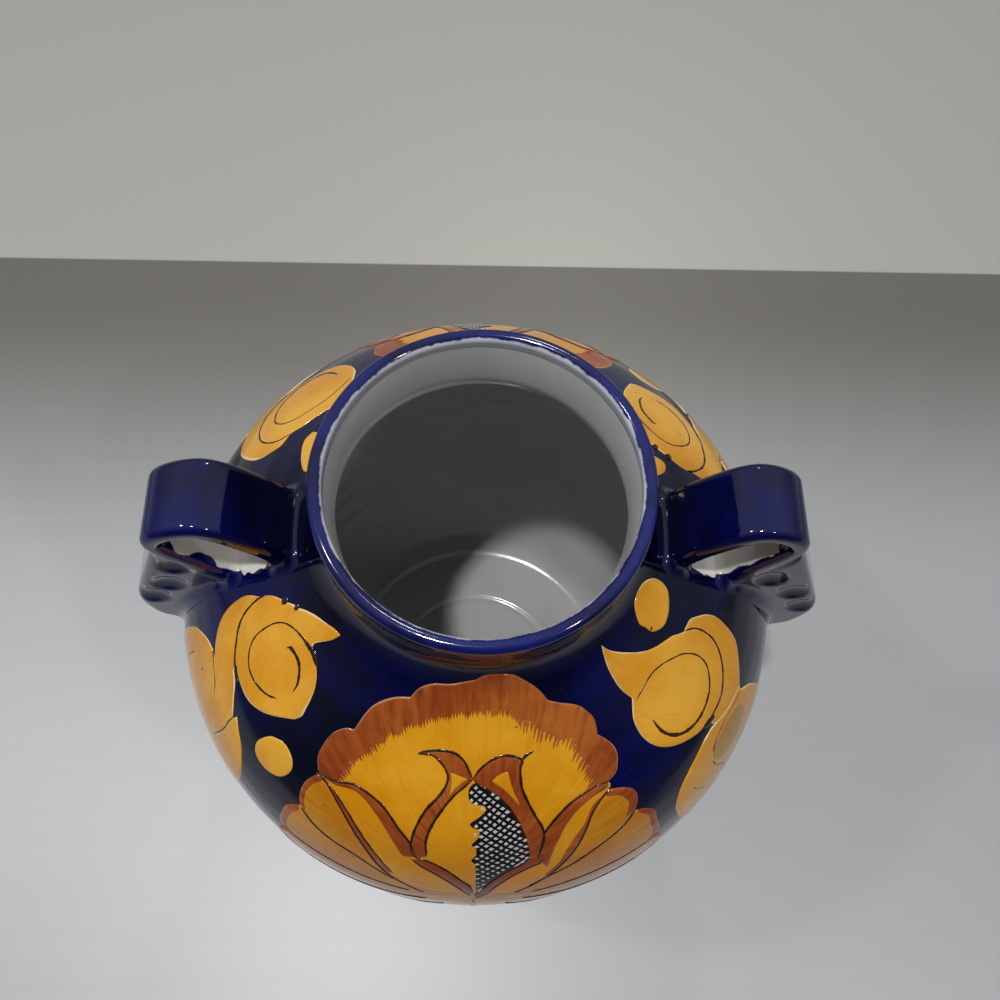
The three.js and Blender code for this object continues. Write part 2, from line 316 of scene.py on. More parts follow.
@dataclass(frozen=True)
class WhiteGlaze:
    """White glaze of the inside, darker as painted shade, faintly grey and blue, with throwing marks,
    pinholes and a few specks.
    """

    name: str = "white glaze"
    # Painted shade: these are darker than the same glaze left bare under the straps.
    pale: Colour = (0.56, 0.55, 0.54)
    grey: Colour = (0.47, 0.465, 0.47)
    speck: Colour = (0.12, 0.09, 0.07)

    def build(self) -> Material:
        """Makes the material."""
        paint = Paint(self.name)
        cloud = paint.noise(16.0, 4.0, 0.6)
        rings = paint.noise(90.0, 3.0, 0.5, paint.stretched((0.12, 0.12, 1.0)))
        colour = paint.blend((cloud * 0.7 + rings * 0.3).climb(0.33, 0.68), self.grey, self.pale)
        specks = paint.specks(70.0, 0.05)
        colour = paint.blend(specks * 0.8, colour, self.speck)
        pores = paint.specks(300.0, 0.12)
        rough = 0.10 + 0.07 * cloud
        normal = paint.bump(rings * 0.5 + paint.noise(160.0, 2.0, 0.5) * 0.4 - pores * 0.3, 0.00014)
        return paint.finish(Base_Color=colour, Roughness=rough, Normal=normal, IOR=1.5)


@dataclass(frozen=True)
class BrushPaint:
    """Coloured glaze laid over the ground with a brush. Its edge thins out to a paler rim, partly a painted
    highlight.
    """

    name: str
    full: Colour
    light: Colour
    dark: Colour
    # Colour of the paler rim: thinner glaze over the white, partly a painted highlight along the raised edge.
    edge: Colour
    edge_width: float = 0.8             # millimetres
    streaky: float = 0.6                # how strongly the brush's hairs show
    speck: Colour = (0.06, 0.022, 0.008)

    def build(self) -> Material:
        """Makes the material."""
        paint = Paint(self.name)
        cloud = paint.noise(24.0, 4.0, 0.55)
        grain = paint.node("ShaderNodeAttribute", {"attribute_name": "grain"}).outputs["Vector"]
        hairs = paint.noise(0.42, 3.0, 0.6, grain)
        colour = paint.blend(cloud.climb(0.40, 0.66), self.full, self.light)
        streaks = (hairs * 0.6 + (1.0 - cloud) * 0.4).climb(0.42, 0.66)
        colour = paint.blend(streaks * self.streaky, colour, self.dark)
        depth = paint.mask("depth")
        fine = (paint.noise(300.0, 3.0, 0.6) - 0.5) * self.edge_width
        broad = (paint.noise(34.0, 3.0, 0.5) - 0.47) * (5.0 * self.edge_width)
        # Paler rim along the edge, partly a painted highlight.
        rim = 1.0 - (depth + fine + broad).climb(self.edge_width * 0.2, self.edge_width)
        colour = paint.blend(rim * 0.9, colour, self.edge)
        specks = paint.specks(70.0, 0.042)
        colour = paint.blend(specks * 0.75, colour, self.speck)
        rough = 0.08 + 0.07 * hairs
        normal = paint.bump(hairs * 0.6 + paint.noise(160.0, 2.0, 0.5) * 0.3, 0.00010)
        return paint.finish(Base_Color=colour, Roughness=rough, Normal=normal, IOR=1.5)


@dataclass(frozen=True)
class BareClay:
    """Unglazed fired clay of the foot, sandy and wiped."""

    name: str = "bare clay"
    red: Colour = (0.42, 0.17, 0.08)
    pale: Colour = (0.56, 0.28, 0.15)
    grain: Colour = (0.70, 0.55, 0.42)
    dirt: Colour = (0.10, 0.05, 0.03)

    def build(self) -> Material:
        """Makes the material."""
        paint = Paint(self.name)
        cloud = paint.noise(22.0, 5.0, 0.6)
        grit = paint.noise(520.0, 3.0, 0.6)
        colour = paint.blend(cloud.climb(0.35, 0.7), self.red, self.pale)
        colour = paint.blend(paint.specks(260.0, 0.12) * 0.6, colour, self.grain)
        colour = paint.blend(paint.specks(150.0, 0.06) * 0.8, colour, self.dirt)
        normal = paint.bump(grit * 0.7 + cloud * 0.3, 0.0006)
        return paint.finish(Base_Color=colour, Roughness=0.72 + 0.2 * grit, Normal=normal)


@dataclass(frozen=True)
class Floor:
    """Steel table with shade painted towards its far edge and on the ground in front, and a pale ground
    beyond it.
    """

    name: str = "steel table"
    near: Colour = (0.40, 0.405, 0.405)
    # Painted shade: the table darkens to this colour towards its far edge.
    far: Colour = (0.150, 0.140, 0.117)
    beyond: Colour = (0.42, 0.405, 0.36)
    # Darker streaks of the steel's grain, and painted shade on the ground in front.
    grain_and_front_shade: Colour = (0.10, 0.10, 0.10)
    far_shade: Span = (0.05, 0.29)        # metres behind the urn's axis
    edge: float = 0.317
    # Painted shade on the ground in front of the urn, between these distances.
    ends: Span = (0.30, 0.55)           # metres in front of the axis

    def build(self) -> Material:
        """Makes the material."""
        paint = Paint(self.name)
        back = Number(paint, paint.node("ShaderNodeSeparateXYZ", None, {0: paint.place}).outputs["Y"])
        grain = paint.noise(6.0, 4.0, 0.7, paint.stretched((0.5, 26.0, 1.0)))
        # Painted shade, darker towards the table's far edge.
        colour = paint.blend(back.climb(*self.far_shade), self.near, self.far)
        colour = paint.blend((1.0 - grain) * 0.10, colour, self.grain_and_front_shade)
        colour = paint.blend(back.climb(self.edge - 0.001, self.edge + 0.001), colour, self.beyond)
        # Painted shade on the ground in front, which the urn's glaze reflects.
        colour = paint.blend((back * -1.0).climb(*self.ends), colour, self.grain_and_front_shade)
        return paint.finish(Base_Color=colour, Roughness=0.45, Metallic=0.22)


MOTIF_FINISHES = {
    "bare": (Slot.WHITE, WhiteGlaze("bare white", (0.80, 0.77, 0.72), (0.70, 0.675, 0.64))),
    "golden": (Slot.AMBER, BrushPaint("golden amber", (0.62, 0.25, 0.005), (0.70, 0.33, 0.016),
                                      (0.47, 0.155, 0.002), (0.74, 0.47, 0.15), 0.8, 0.30)),
    "orange": (Slot.AMBER, BrushPaint("orange amber", (0.66, 0.285, 0.014), (0.74, 0.38, 0.04),
                                      (0.54, 0.19, 0.006), (0.78, 0.62, 0.32), 0.8, 0.28)),
    "deep": (Slot.AMBER, BrushPaint("deep amber", (0.50, 0.185, 0.005), (0.60, 0.26, 0.014),
                                    (0.36, 0.105, 0.002), (0.62, 0.38, 0.12), 0.8, 0.5)),
    "ochre": (Slot.AMBER, BrushPaint("dull ochre", (0.42, 0.215, 0.016), (0.48, 0.27, 0.026),
                                     (0.34, 0.16, 0.009), (0.6, 0.3, 0.05), 0.5, 0.4)),
    "rust": (Slot.RUST, BrushPaint("rust brown", (0.29, 0.058, 0.011), (0.42, 0.12, 0.02),
                                   (0.17, 0.028, 0.005), (0.46, 0.22, 0.10), 0.6, 0.8)),
    "line": (Slot.LINE, BrushPaint("brown line", (0.022, 0.009, 0.003), (0.05, 0.02, 0.006),
                                   (0.01, 0.004, 0.002), (0.05, 0.02, 0.01), 0.1)),
    "black": (Slot.LINE, BrushPaint("black line", (0.006, 0.005, 0.007), (0.011, 0.01, 0.012),
                                    (0.003, 0.003, 0.004), (0.02, 0.02, 0.02), 0.1)),
    "pale": (Slot.WHITE, BrushPaint("pale dots", (0.52, 0.51, 0.48), (0.60, 0.59, 0.56),
                                    (0.34, 0.33, 0.31), (0.42, 0.40, 0.37), 0.2)),
}


class Finishes:
    """Every finish of the urn, built once."""

    def __init__(self) -> None:
        """Builds the finishes of the pot and the handles, and with their slots those of the painting."""
        thick, thin = (0.0010, 0.0013, 0.012), (0.0016, 0.0030, 0.080)
        self.cobalt = CobaltGlaze("cobalt ground").build()
        self.handle_cobalt = CobaltGlaze("handle cobalt", thick, thin, 0.54, True).build()
        self.rim = RimGlaze().build()
        self.white = WhiteGlaze().build()
        self.clay = BareClay().build()
        self.motif = {colour: (slot, finish.build()) for colour, (slot, finish) in MOTIF_FINISHES.items()}


def linked(name: str, data: bpy.types.ID) -> bpy.types.Object:
    """Object that shows some data, linked into the scene."""
    made = bpy.data.objects.new(name, data)
    bpy.context.scene.collection.objects.link(made)
    return made


def body_piece(
    name: str, points: Array, faces: list, material: Material,
    normals: Array | None = None, masks: dict[str, Array] | None = None,
    uvs: Array | None = None, replaces: tuple[str, ...] = (),
) -> bpy.types.Object:
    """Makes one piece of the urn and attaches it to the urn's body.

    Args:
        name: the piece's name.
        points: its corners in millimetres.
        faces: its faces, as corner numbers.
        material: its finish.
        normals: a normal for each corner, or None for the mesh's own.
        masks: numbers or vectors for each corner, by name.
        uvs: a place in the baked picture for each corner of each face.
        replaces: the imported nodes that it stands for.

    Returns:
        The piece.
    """
    mesh = bpy.data.meshes.new(name)
    mesh.from_pydata((np.asarray(points) * MM).tolist(), [], faces)
    mesh.shade_smooth()
    for mask, values in (masks or {}).items():
        kind, key = ("FLOAT_VECTOR", "vector") if values.ndim == 2 else ("FLOAT", "value")
        mesh.attributes.new(mask, kind, "POINT").data.foreach_set(key, values.astype(np.float32).ravel())
    if uvs is not None:
        mesh.uv_layers.new(name="OFBake").uv.foreach_set("vector", np.asarray(uvs, dtype=np.float32).ravel())
    if normals is not None:
        mesh.normals_split_custom_set_from_vertices(normals.tolist())
    mesh.materials.append(material)
    piece = linked(name, mesh)
    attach(piece, BODY)
    if replaces:
        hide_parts(*replaces)
    log.info("%s: %d faces", name, len(faces))
    return piece


def run_along(line: Array) -> Array:
    """Distance along a line to each of its points."""
    return np.concatenate([[0], np.cumsum(np.hypot(*np.diff(line, axis=0).T))])


def on_line(line: Array, run: Array, at: Array | float) -> Array:
    """Both coordinates of a line's points at some distances along it."""
    return np.array([np.interp(at, run, line[:, k]) for k in (0, 1)])


def bend(start: Array, pull: Array, end: Array, t: Array) -> Array:
    """Points of a curve that leaves its start towards a point and reaches its end from there."""
    return (1 - t) ** 2 * start + 2 * t * (1 - t) * pull + t * t * end


def unit(vectors: Array) -> Array:
    """Flat vectors made one long."""
    return vectors / np.maximum(np.hypot(*vectors.T), 1e-6)[:, None]


def turned(angle: Array, radius: Array, height: Array) -> Array:
    """Points at some angles, radii and heights."""
    turn = np.radians(angle)
    return np.stack([radius * np.sin(turn), -radius * np.cos(turn), height], axis=-1)


def area(edge: Array) -> float:
    """Twice the area inside a closed line, below zero where the line runs the other way round."""
    after = np.roll(edge, -1, axis=0)
    return np.sum(edge[:, 0] * after[:, 1] - after[:, 0] * edge[:, 1])


def inside(x: Array, y: Array, edge: Array) -> Array:
    """Whether points lie inside a closed line."""
    within = np.zeros(np.shape(x), dtype=bool)
    for start, end in zip(edge, np.roll(edge, -1, axis=0)):
        span = end - start
        crosses = (start[1] > y) != (end[1] > y)
        within ^= crosses & (x < start[0] + (y - start[1]) * span[0] / (span[1] if span[1] else 1e-9))
    return within


@dataclass
class PotShape:
    """Profile of the thrown pot, inside and out, and the way its outside wavers."""

    total_height: float = 319.5
    belly_radius: float = 130.0
    belly_height: float = 172.4
    shoulder_reach: float = 107.2
    shoulder_fullness: float = 2.35
    bowl_reach: float = 215.0
    bowl_fullness: float = 2.2
    body_wall: float = 7.0
    neck_wall: float = 5.2
    neck_radius: float = 55.5
    neck_low: float = 299.0
    sweep_end_radius: float = 100.0
    sweep_pull_neck: float = 19.0
    sweep_pull_shoulder: float = 38.0
    foot_height: float = 5.0
    floor_top: float = 12.0
    fillet_top: float = 22.0
    floor_radius: float = 75.5
    lip: Span = (52.0, 313.6)           # radius and height at which the inside starts
    lip_pull: Span = (50.5, 305.0)      # where its curve is pulled to on the way to the wall
    run_start: float = 308.0            # height at which the run down the profile is 0
    rim_drop: float = 8.2               # from the very top down to the start of the outside
    wall_grows: float = 50.0            # height below the neck over which the wall thickens
    glaze_back: float = 0.8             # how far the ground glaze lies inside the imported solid

    def __post_init__(self) -> None:
        """Works out the two profiles as rows of run, radius, height and the normal's two parts."""
        self.outside = self._with_normals(self._outside_points())
        self.inside = self._with_normals(self._inside_points())
        self.inside[:, 3:] *= -1

    def body_curve(self, height: Array) -> Array:
        """Radius of the body's main curve at some heights."""
        above = height > self.belly_height
        reach = np.where(above, self.shoulder_reach, self.bowl_reach)
        full = np.where(above, self.shoulder_fullness, self.bowl_fullness)
        share = np.minimum(np.abs(height - self.belly_height) / reach, 1.0)
        return self.belly_radius * (1 - share ** full) ** (1 / full)

    def _outside_points(self) -> Array:
        """Outside from the rim's foot down to the foot pad, as radius and height."""
        heights = np.linspace(self.belly_height, self.belly_height + self.shoulder_reach, 4000)
        meet = float(np.interp(-self.sweep_end_radius, -self.body_curve(heights), heights))
        drop = self.body_curve(np.array(meet)) - self.body_curve(np.array(meet + 0.01))
        fall = np.array([float(drop), -0.01])
        end = np.array([self.sweep_end_radius, meet])
        start = np.array([self.neck_radius, self.neck_low])
        pulls = [start, start - (0, self.sweep_pull_neck),
                 end - self.sweep_pull_shoulder * fall / np.hypot(*fall), end]
        t = np.linspace(0, 1, 140)[1:, None]
        weights = [(1 - t) ** 3, 3 * t * (1 - t) ** 2, 3 * t * t * (1 - t), t ** 3]
        sweep = sum(weight * pull for weight, pull in zip(weights, pulls))
        heights = np.linspace(self.total_height - self.rim_drop, self.neck_low, 14)
        neck = np.array([(self.neck_radius, z) for z in heights])
        low = np.linspace(meet, self.foot_height, 320)[1:]
        return np.vstack([neck, sweep, np.column_stack([self.body_curve(low), low])])

    def _inside_points(self) -> Array:
        """Inside from the lip down to the middle of the floor, as radius and height."""
        rows = self.outside
        below_neck = np.clip((self.neck_low - rows[:, 2]) / self.wall_grows, 0, 1)
        wall = self.neck_wall + (self.body_wall - self.neck_wall) * below_neck
        wall_line = rows[:, 1:3] - wall[:, None] * rows[:, 3:5]
        wall_line = wall_line[(rows[:, 2] < self.neck_low - 3) & (wall_line[:, 1] > self.fillet_top)]
        t = np.linspace(0, 1, 14)[:, None]
        lip_line = bend(np.array(self.lip), np.array(self.lip_pull), wall_line[0], t)
        foot = wall_line[-1]
        lean = (wall_line[-5] - foot) / (wall_line[-5] - foot)[1]
        corner = foot - lean * (foot[1] - self.floor_top)
        edge = np.array([self.floor_radius, self.floor_top])
        fillet = bend(foot, corner, edge, t)
        across = np.linspace(self.floor_radius, 0.4, 90)[1:]
        floor = np.column_stack([across, np.full_like(across, self.floor_top)])
        return np.vstack([lip_line, wall_line[1:], fillet[1:], floor])

    def _with_normals(self, points: Array) -> Array:
        """Adds the run and the outward normal to a profile's points."""
        run = run_along(points)
        run -= np.interp(-self.run_start, -points[:, 1], run)
        slope = np.gradient(points, run, axis=0)
        slope /= np.hypot(*slope.T)[:, None]
        return np.column_stack([run, points, -slope[:, 1], slope[:, 0]])

    @staticmethod
    def waver(angle: Array, height: Array) -> Array:
        """How far the thrown wall stands out from its true curve, in millimetres."""
        turn = np.radians(angle)
        lumps = 0.07 * np.sin(2 * turn + 0.6 + height / 61) + 0.05 * np.sin(5 * turn - height / 37 + 2.0)
        marks = 0.022 * np.sin(2 * math.pi * height / 8.5 + turn + 0.8 * np.sin(3 * turn))
        return lumps + marks

    def at(self, run: Array, rows: Array) -> list[Array]:
        """Radius, height and normal of a profile at some runs."""
        return [np.interp(run, rows[:, 0], rows[:, column]) for column in range(1, 5)]

    def on_outside(self, angle: Array, run: Array, lift: Array | float = 0.0) -> Array:
        """Points of the glaze's outside.

        Args:
            angle: degrees from the front.
            run: millimetres down the profile.
            lift: how far above the ground glaze they lie.

        Returns:
            Rows of X, Y and Z in millimetres.
        """
        radius, height, out, up = self.at(run, self.outside)
        push = lift - self.glaze_back + self.waver(angle, height)
        return turned(angle, radius + push * out, height + push * up)

    def on_inside(self, angle: Array, run: Array) -> Array:
        """Points of the glaze's inside, with the rings that the potter's fingers left."""
        radius, height, out, up = self.at(run, self.inside)
        turn = np.radians(angle)
        marks = 0.045 * np.sin(2 * math.pi * (height - radius) / 10.5 + turn + 0.6 * np.sin(2 * turn))
        groove = -0.7 * np.exp(-((radius - 48.6) / 1.6) ** 2) * (height < self.floor_top + 1)
        push = (marks + groove) * np.clip((300.0 - height) / 30, 0, 1) * np.clip(radius / 12, 0, 1)
        return turned(angle, radius + push * out, height + push * up)

    def run_at(self, height: float, rows: Array) -> float:
        """Run of a profile at a height."""
        return float(np.interp(-height, -rows[:, 2], rows[:, 0]))


@dataclass
class Skin:
    """Grid of faces turned round the axis, with analytic normals so that neighbours meet without a crease."""

    columns: int = 360
    slope_step: float = 0.2             # degrees and millimetres over which a slope is measured
    gap: float = 0.02                   # share of a strip's width left between strips of the baked picture
    margin: float = 0.03                # share of its height left above and below

    def make(
        self, name: str, surface: Callable[[Array, Array], Array], runs: Array, outward: bool,
        material: Material, replaces: tuple[str, ...] = (), strips: int = 3,
    ) -> bpy.types.Object:
        """Makes one skin.

        Args:
            name: the piece's name.
            surface: function from angles and runs to points.
            runs: the runs of its rows, from the top.
            outward: whether it faces away from the axis.
            material: its finish.
            replaces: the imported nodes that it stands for.
            strips: how many strips the baked picture stacks.

        Returns:
            The piece.
        """
        angles = np.arange(self.columns) * 360.0 / self.columns
        run_grid, angle_grid = np.meshgrid(runs, angles, indexing="ij")
        points = surface(angle_grid, run_grid)
        step = self.slope_step
        along = surface(angle_grid + step, run_grid) - surface(angle_grid - step, run_grid)
        down = surface(angle_grid, run_grid + step) - surface(angle_grid, run_grid - step)
        normals = np.cross(down, along) * (1 if outward else -1)
        normals /= np.linalg.norm(normals, axis=-1, keepdims=True)
        count = len(runs)
        row, column = np.meshgrid(np.arange(count - 1), np.arange(self.columns), indexing="ij")
        after = (column + 1) % self.columns
        corners = [row * self.columns + column, (row + 1) * self.columns + column,
                   (row + 1) * self.columns + after, row * self.columns + after]
        per = self.columns // strips
        strip, local = column // per, column % per
        left, right = ((local + k + self.gap * per / 2) / (per * (1 + self.gap)) for k in (0, 1))
        tall = 1 - 2 * self.margin
        high, low = ((strip + self.margin + tall * (row + k) / (count - 1)) / strips for k in (0, 1))
        places = [(left, high), (left, low), (right, low), (right, high)]
        if not outward:
            corners.reverse()
            places.reverse()
        faces = np.stack(corners, axis=-1).reshape(-1, 4)
        uvs = np.stack([np.stack(place, axis=-1) for place in places], axis=-2).reshape(-1, 2)
        return body_piece(name, points.reshape(-1, 3), faces.tolist(), material,
                          normals.reshape(-1, 3), None, uvs, replaces)


@dataclass
class Pot:
    """The thrown body: ground glaze outside by rings, white glaze inside, rolled rim and bare foot."""

    shape: PotShape
    finishes: Finishes
    row_step: float = 1.6
    ground_top: float = 311.4           # height at which the cobalt starts, hidden inside the rim
    inside_joins: Span = (250.0, 110.0)  # heights between the pieces of the inside
    rings: tuple[tuple[str, float], ...] = (
        ("neck_collar", 287.15), ("neck_base", 254.15), ("crown_ring", 222.15), ("shoulder_ring", 172.55),
        ("belly_ring", 100.15), ("lower_ring", 44.15), ("heel_ring", 5.0),
    )
    rim_crest: Span = (54.4, 316.85)
    rim_depth: float = 5.2              # from the middle of its round top down to its foot
    rim_half: float = 2.48
    foot_radius: float = 84.0
    foot_edge: float = 1.3

    def build(self) -> None:
        """Makes every piece of the body."""
        self.outside()
        self.inside()
        self.rim()
        self.foot()

    def outside(self) -> None:
        """Makes the ground glaze, one piece for each ring that the potter joined."""
        shape, top = self.shape, self.shape.run_at(self.ground_top, self.shape.outside)
        for name, low in self.rings:
            bottom = shape.run_at(low, shape.outside)
            rows = max(int((bottom - top) / self.row_step), 4)
            Skin().make(f"{name}_glaze", shape.on_outside, np.linspace(top, bottom, rows + 1), True,
                        self.finishes.cobalt, (name,), 4 if name == "neck_collar" else 3)
            top = bottom

    def inside(self) -> None:
        """Makes the white glaze of the inside wall and floor."""
        shape, white = self.shape, self.finishes.white
        low = shape.inside[-95:]        # the last of the fillet, and the floor
        floor = float(np.interp(-shape.floor_radius - 1, -low[:, 1], low[:, 0]))
        joins = [shape.run_at(height, shape.inside) for height in self.inside_joins]
        runs = [shape.inside[0, 0], *joins, floor]
        for name, start, end in zip(("inner_neck", "inner_wall", "inner_bowl"), runs, runs[1:]):
            rows = np.linspace(start, end, int((end - start) / 2.0) + 1)
            Skin(240).make(name, shape.on_inside, rows, False, white)
        rows = np.linspace(floor, shape.inside[-1, 0], 76)
        Skin(180).make("inner_floor", shape.on_inside, rows, False, white, ("floor_disc",), 1)

    def rim(self) -> None:
        """Makes the rolled rim, round in section and a little uneven."""
        crest, height = self.rim_crest
        half = self.rim_half
        arc = [(crest + half * math.cos(t), height + half * math.sin(t)) for t in np.linspace(0, math.pi, 15)]
        foot = height - self.rim_depth
        bulge = ((0.0, 0.0), (0.66, 0.0), (0.86, 0.8), (0.97, 2.4))      # share of the half width, and rise
        outer = [(crest + half * out, foot + rise) for out, rise in bulge]
        inner = [(crest - half * out, foot + rise) for out, rise in bulge]
        line = np.array([*outer, *arc, *inner[::-1]][::-1])
        runs = run_along(line)

        def surface(angle: Array, run: Array) -> Array:
            """Points of the roll, at runs up its inner side, over it and down its outer side."""
            turn = np.radians(angle)
            uneven = 0.10 * np.sin(3 * turn + 1) + 0.06 * np.sin(7 * turn)
            radius, rise = on_line(line, runs, run)
            return turned(angle, radius + uneven * 0.5, rise + uneven - 0.1)

        Skin().make("rim_roll_glaze", surface, np.linspace(0, runs[-1], 44), True,
                    self.finishes.rim, ("rim_roll",), 6)

    def foot(self) -> None:
        """Makes the bare clay foot, with the glaze's underside wiped back round it."""
        edge, radius = self.foot_edge, self.foot_radius - 0.2
        line = np.array([(60.0, 5.0), (radius + 2.6, 5.0), (radius + 0.1, 4.4), (radius, 3.4),
                         (radius, edge), (radius - edge * 0.3, edge * 0.3), (radius - edge, 0.05),
                         (radius - 6, 0.05), (0.4, 0.05)])
        runs = run_along(line)

        def surface(angle: Array, run: Array) -> Array:
            """Points of the foot, at runs down its side and in across its underside."""
            return turned(angle, *on_line(line, runs, run))

        side, under = np.linspace(runs[1], runs[6], 12), np.linspace(runs[7], runs[8], 12)
        rows = np.concatenate([runs[:1], side, under])
        Skin(180).make("foot_clay", surface, rows, True, self.finishes.clay, ("foot_pad",), 1)


def flat(points: Points) -> Array:
    """Motif points given as angle and run, in flat millimetres."""
    return np.array(points, dtype=float) * (DEGREE, 1.0)


def smooth(points: Points, step: float = 0.8) -> Array:
    """Smooth line through some points.

    Args:
        points: angles and runs that the line passes through.
        step: distance between the points returned.

    Returns:
        Points of the line in flat millimetres, ends included.
    """
    line = flat(points)
    if len(line) < 3:
        count = max(int(np.hypot(*(line[-1] - line[0])) / step), 1)
        return np.linspace(line[0], line[-1], count + 1)
    ends = np.vstack([2 * line[0] - line[1], line, 2 * line[-1] - line[-2]])
    made = []
    for before, start, end, after in zip(ends, ends[1:], ends[2:], ends[3:]):
        length = np.hypot(*(end - start))
        t = np.linspace(0, 1, max(int(length / step), 1) + 1)[:-1, None]
        into = (end - before) * 0.5 * min(1.0, 2 * length / max(np.hypot(*(end - before)), 1e-6))
        out = (after - start) * 0.5 * min(1.0, 2 * length / max(np.hypot(*(after - start)), 1e-6))
        made.append((2 * t ** 3 - 3 * t ** 2 + 1) * start + (t ** 3 - 2 * t ** 2 + t) * into
                    + (3 * t ** 2 - 2 * t ** 3) * end + (t ** 3 - t ** 2) * out)
    return np.vstack([*made, line[-1:]])


def outline(*parts: Points) -> Array:
    """Closed outline of smooth strokes, with a corner wherever two of them meet."""
    made = np.vstack([smooth(part)[:-1] for part in parts])
    gap = np.hypot(*(made - np.roll(made, 1, axis=0)).T)
    return made[gap > 0.05]


def closed(first: Points, *others: Points) -> Array:
    """Closed outline of strokes, each from the end of the one before it, the last back to the start."""
    made = [first]
    for stroke in others:
        made.append([made[-1][-1], *stroke])
    made[-1] = [*made[-1], first[0]]
    return outline(*made)


SPREAD = (0.7, 1.3)     # least and greatest share of a pitch from one stroke to the next


def strokes(line: Array, aim: Span, reach: float, pitch: float, seed: int) -> list[Array]:
    """Short strokes of a dry brush that start on a line and run towards a point.

    Args:
        line: points in flat millimetres.
        aim: angle and run of the point.
        reach: length of the longest stroke.
        pitch: mean distance between two strokes.
        seed: number that fixes the strokes.

    Returns:
        The middle line of each stroke.
    """
    chance = np.random.default_rng(seed)
    run = run_along(line)
    target = flat([aim])[0]
    made = []
    at = pitch * 0.5
    while at < run[-1]:
        start = on_line(line, run, at)
        toward = (target - start) / np.hypot(*(target - start))
        length = reach * chance.uniform(0.35, 1.0)
        made.append(np.linspace(start - toward * 1.2, start + toward * length, 6))
        at += pitch * chance.uniform(*SPREAD)
    return made


def frayed(line: Array, aim: Span, reach: float, pitch: float, seed: int) -> Array:
    """Line frayed into the ends of brush strokes that run towards a point.

    Args:
        line: points in flat millimetres.
        aim: angle and run of the point.
        reach: length of the longest stroke end.
        pitch: mean distance between two stroke ends.
        seed: number that fixes the strokes.

    Returns:
        The frayed line, its two ends unmoved.
    """
    chance = np.random.default_rng(seed)
    run = run_along(line)
    target = flat([aim])[0]
    made = [line[0]]
    at = pitch * 0.5
    while at < run[-1] - pitch:
        low, high = on_line(line, run, at), on_line(line, run, at + pitch * 0.5)
        toward = (target - high) / np.hypot(*(target - high))
        made.append(low - toward * reach * chance.uniform(0.0, 0.25))
        made.append(high + toward * reach * chance.uniform(0.3, 1.0))
        at += pitch * chance.uniform(*SPREAD)
    return np.vstack([*made, line[-1]])


@dataclass(frozen=True)
class Place:
    """Where a motif is laid on the pot: turned, dropped and stretched from where its points were drawn."""

    turn: float = 0.0
    drop: float = 0.0
    stretch: float = 1.0
    about: float = 0.0

    def angle_and_run(self, points: Array) -> tuple[Array, Array]:
        """Angles and runs on the pot of points in flat millimetres."""
        drawn = points[:, 0] / DEGREE
        return self.about + self.turn + (drawn - self.about) * self.stretch, points[:, 1] + self.drop


FRONT = Place()
BACK_FLOWER = Place(turn=179.25, drop=9.0, stretch=0.89, about=-2.25)
BACK_RIGHT = Place(turn=183.5, drop=7.0)
BACK_LEFT = Place(turn=175.5, drop=7.0)


@dataclass
class Patch:
    """One shape laid on the pot."""

    points: Array
    faces: list
    depth: Array                        # each point's distance from the shape's edge
    grain: Array                        # each point's place across and along the brush strokes


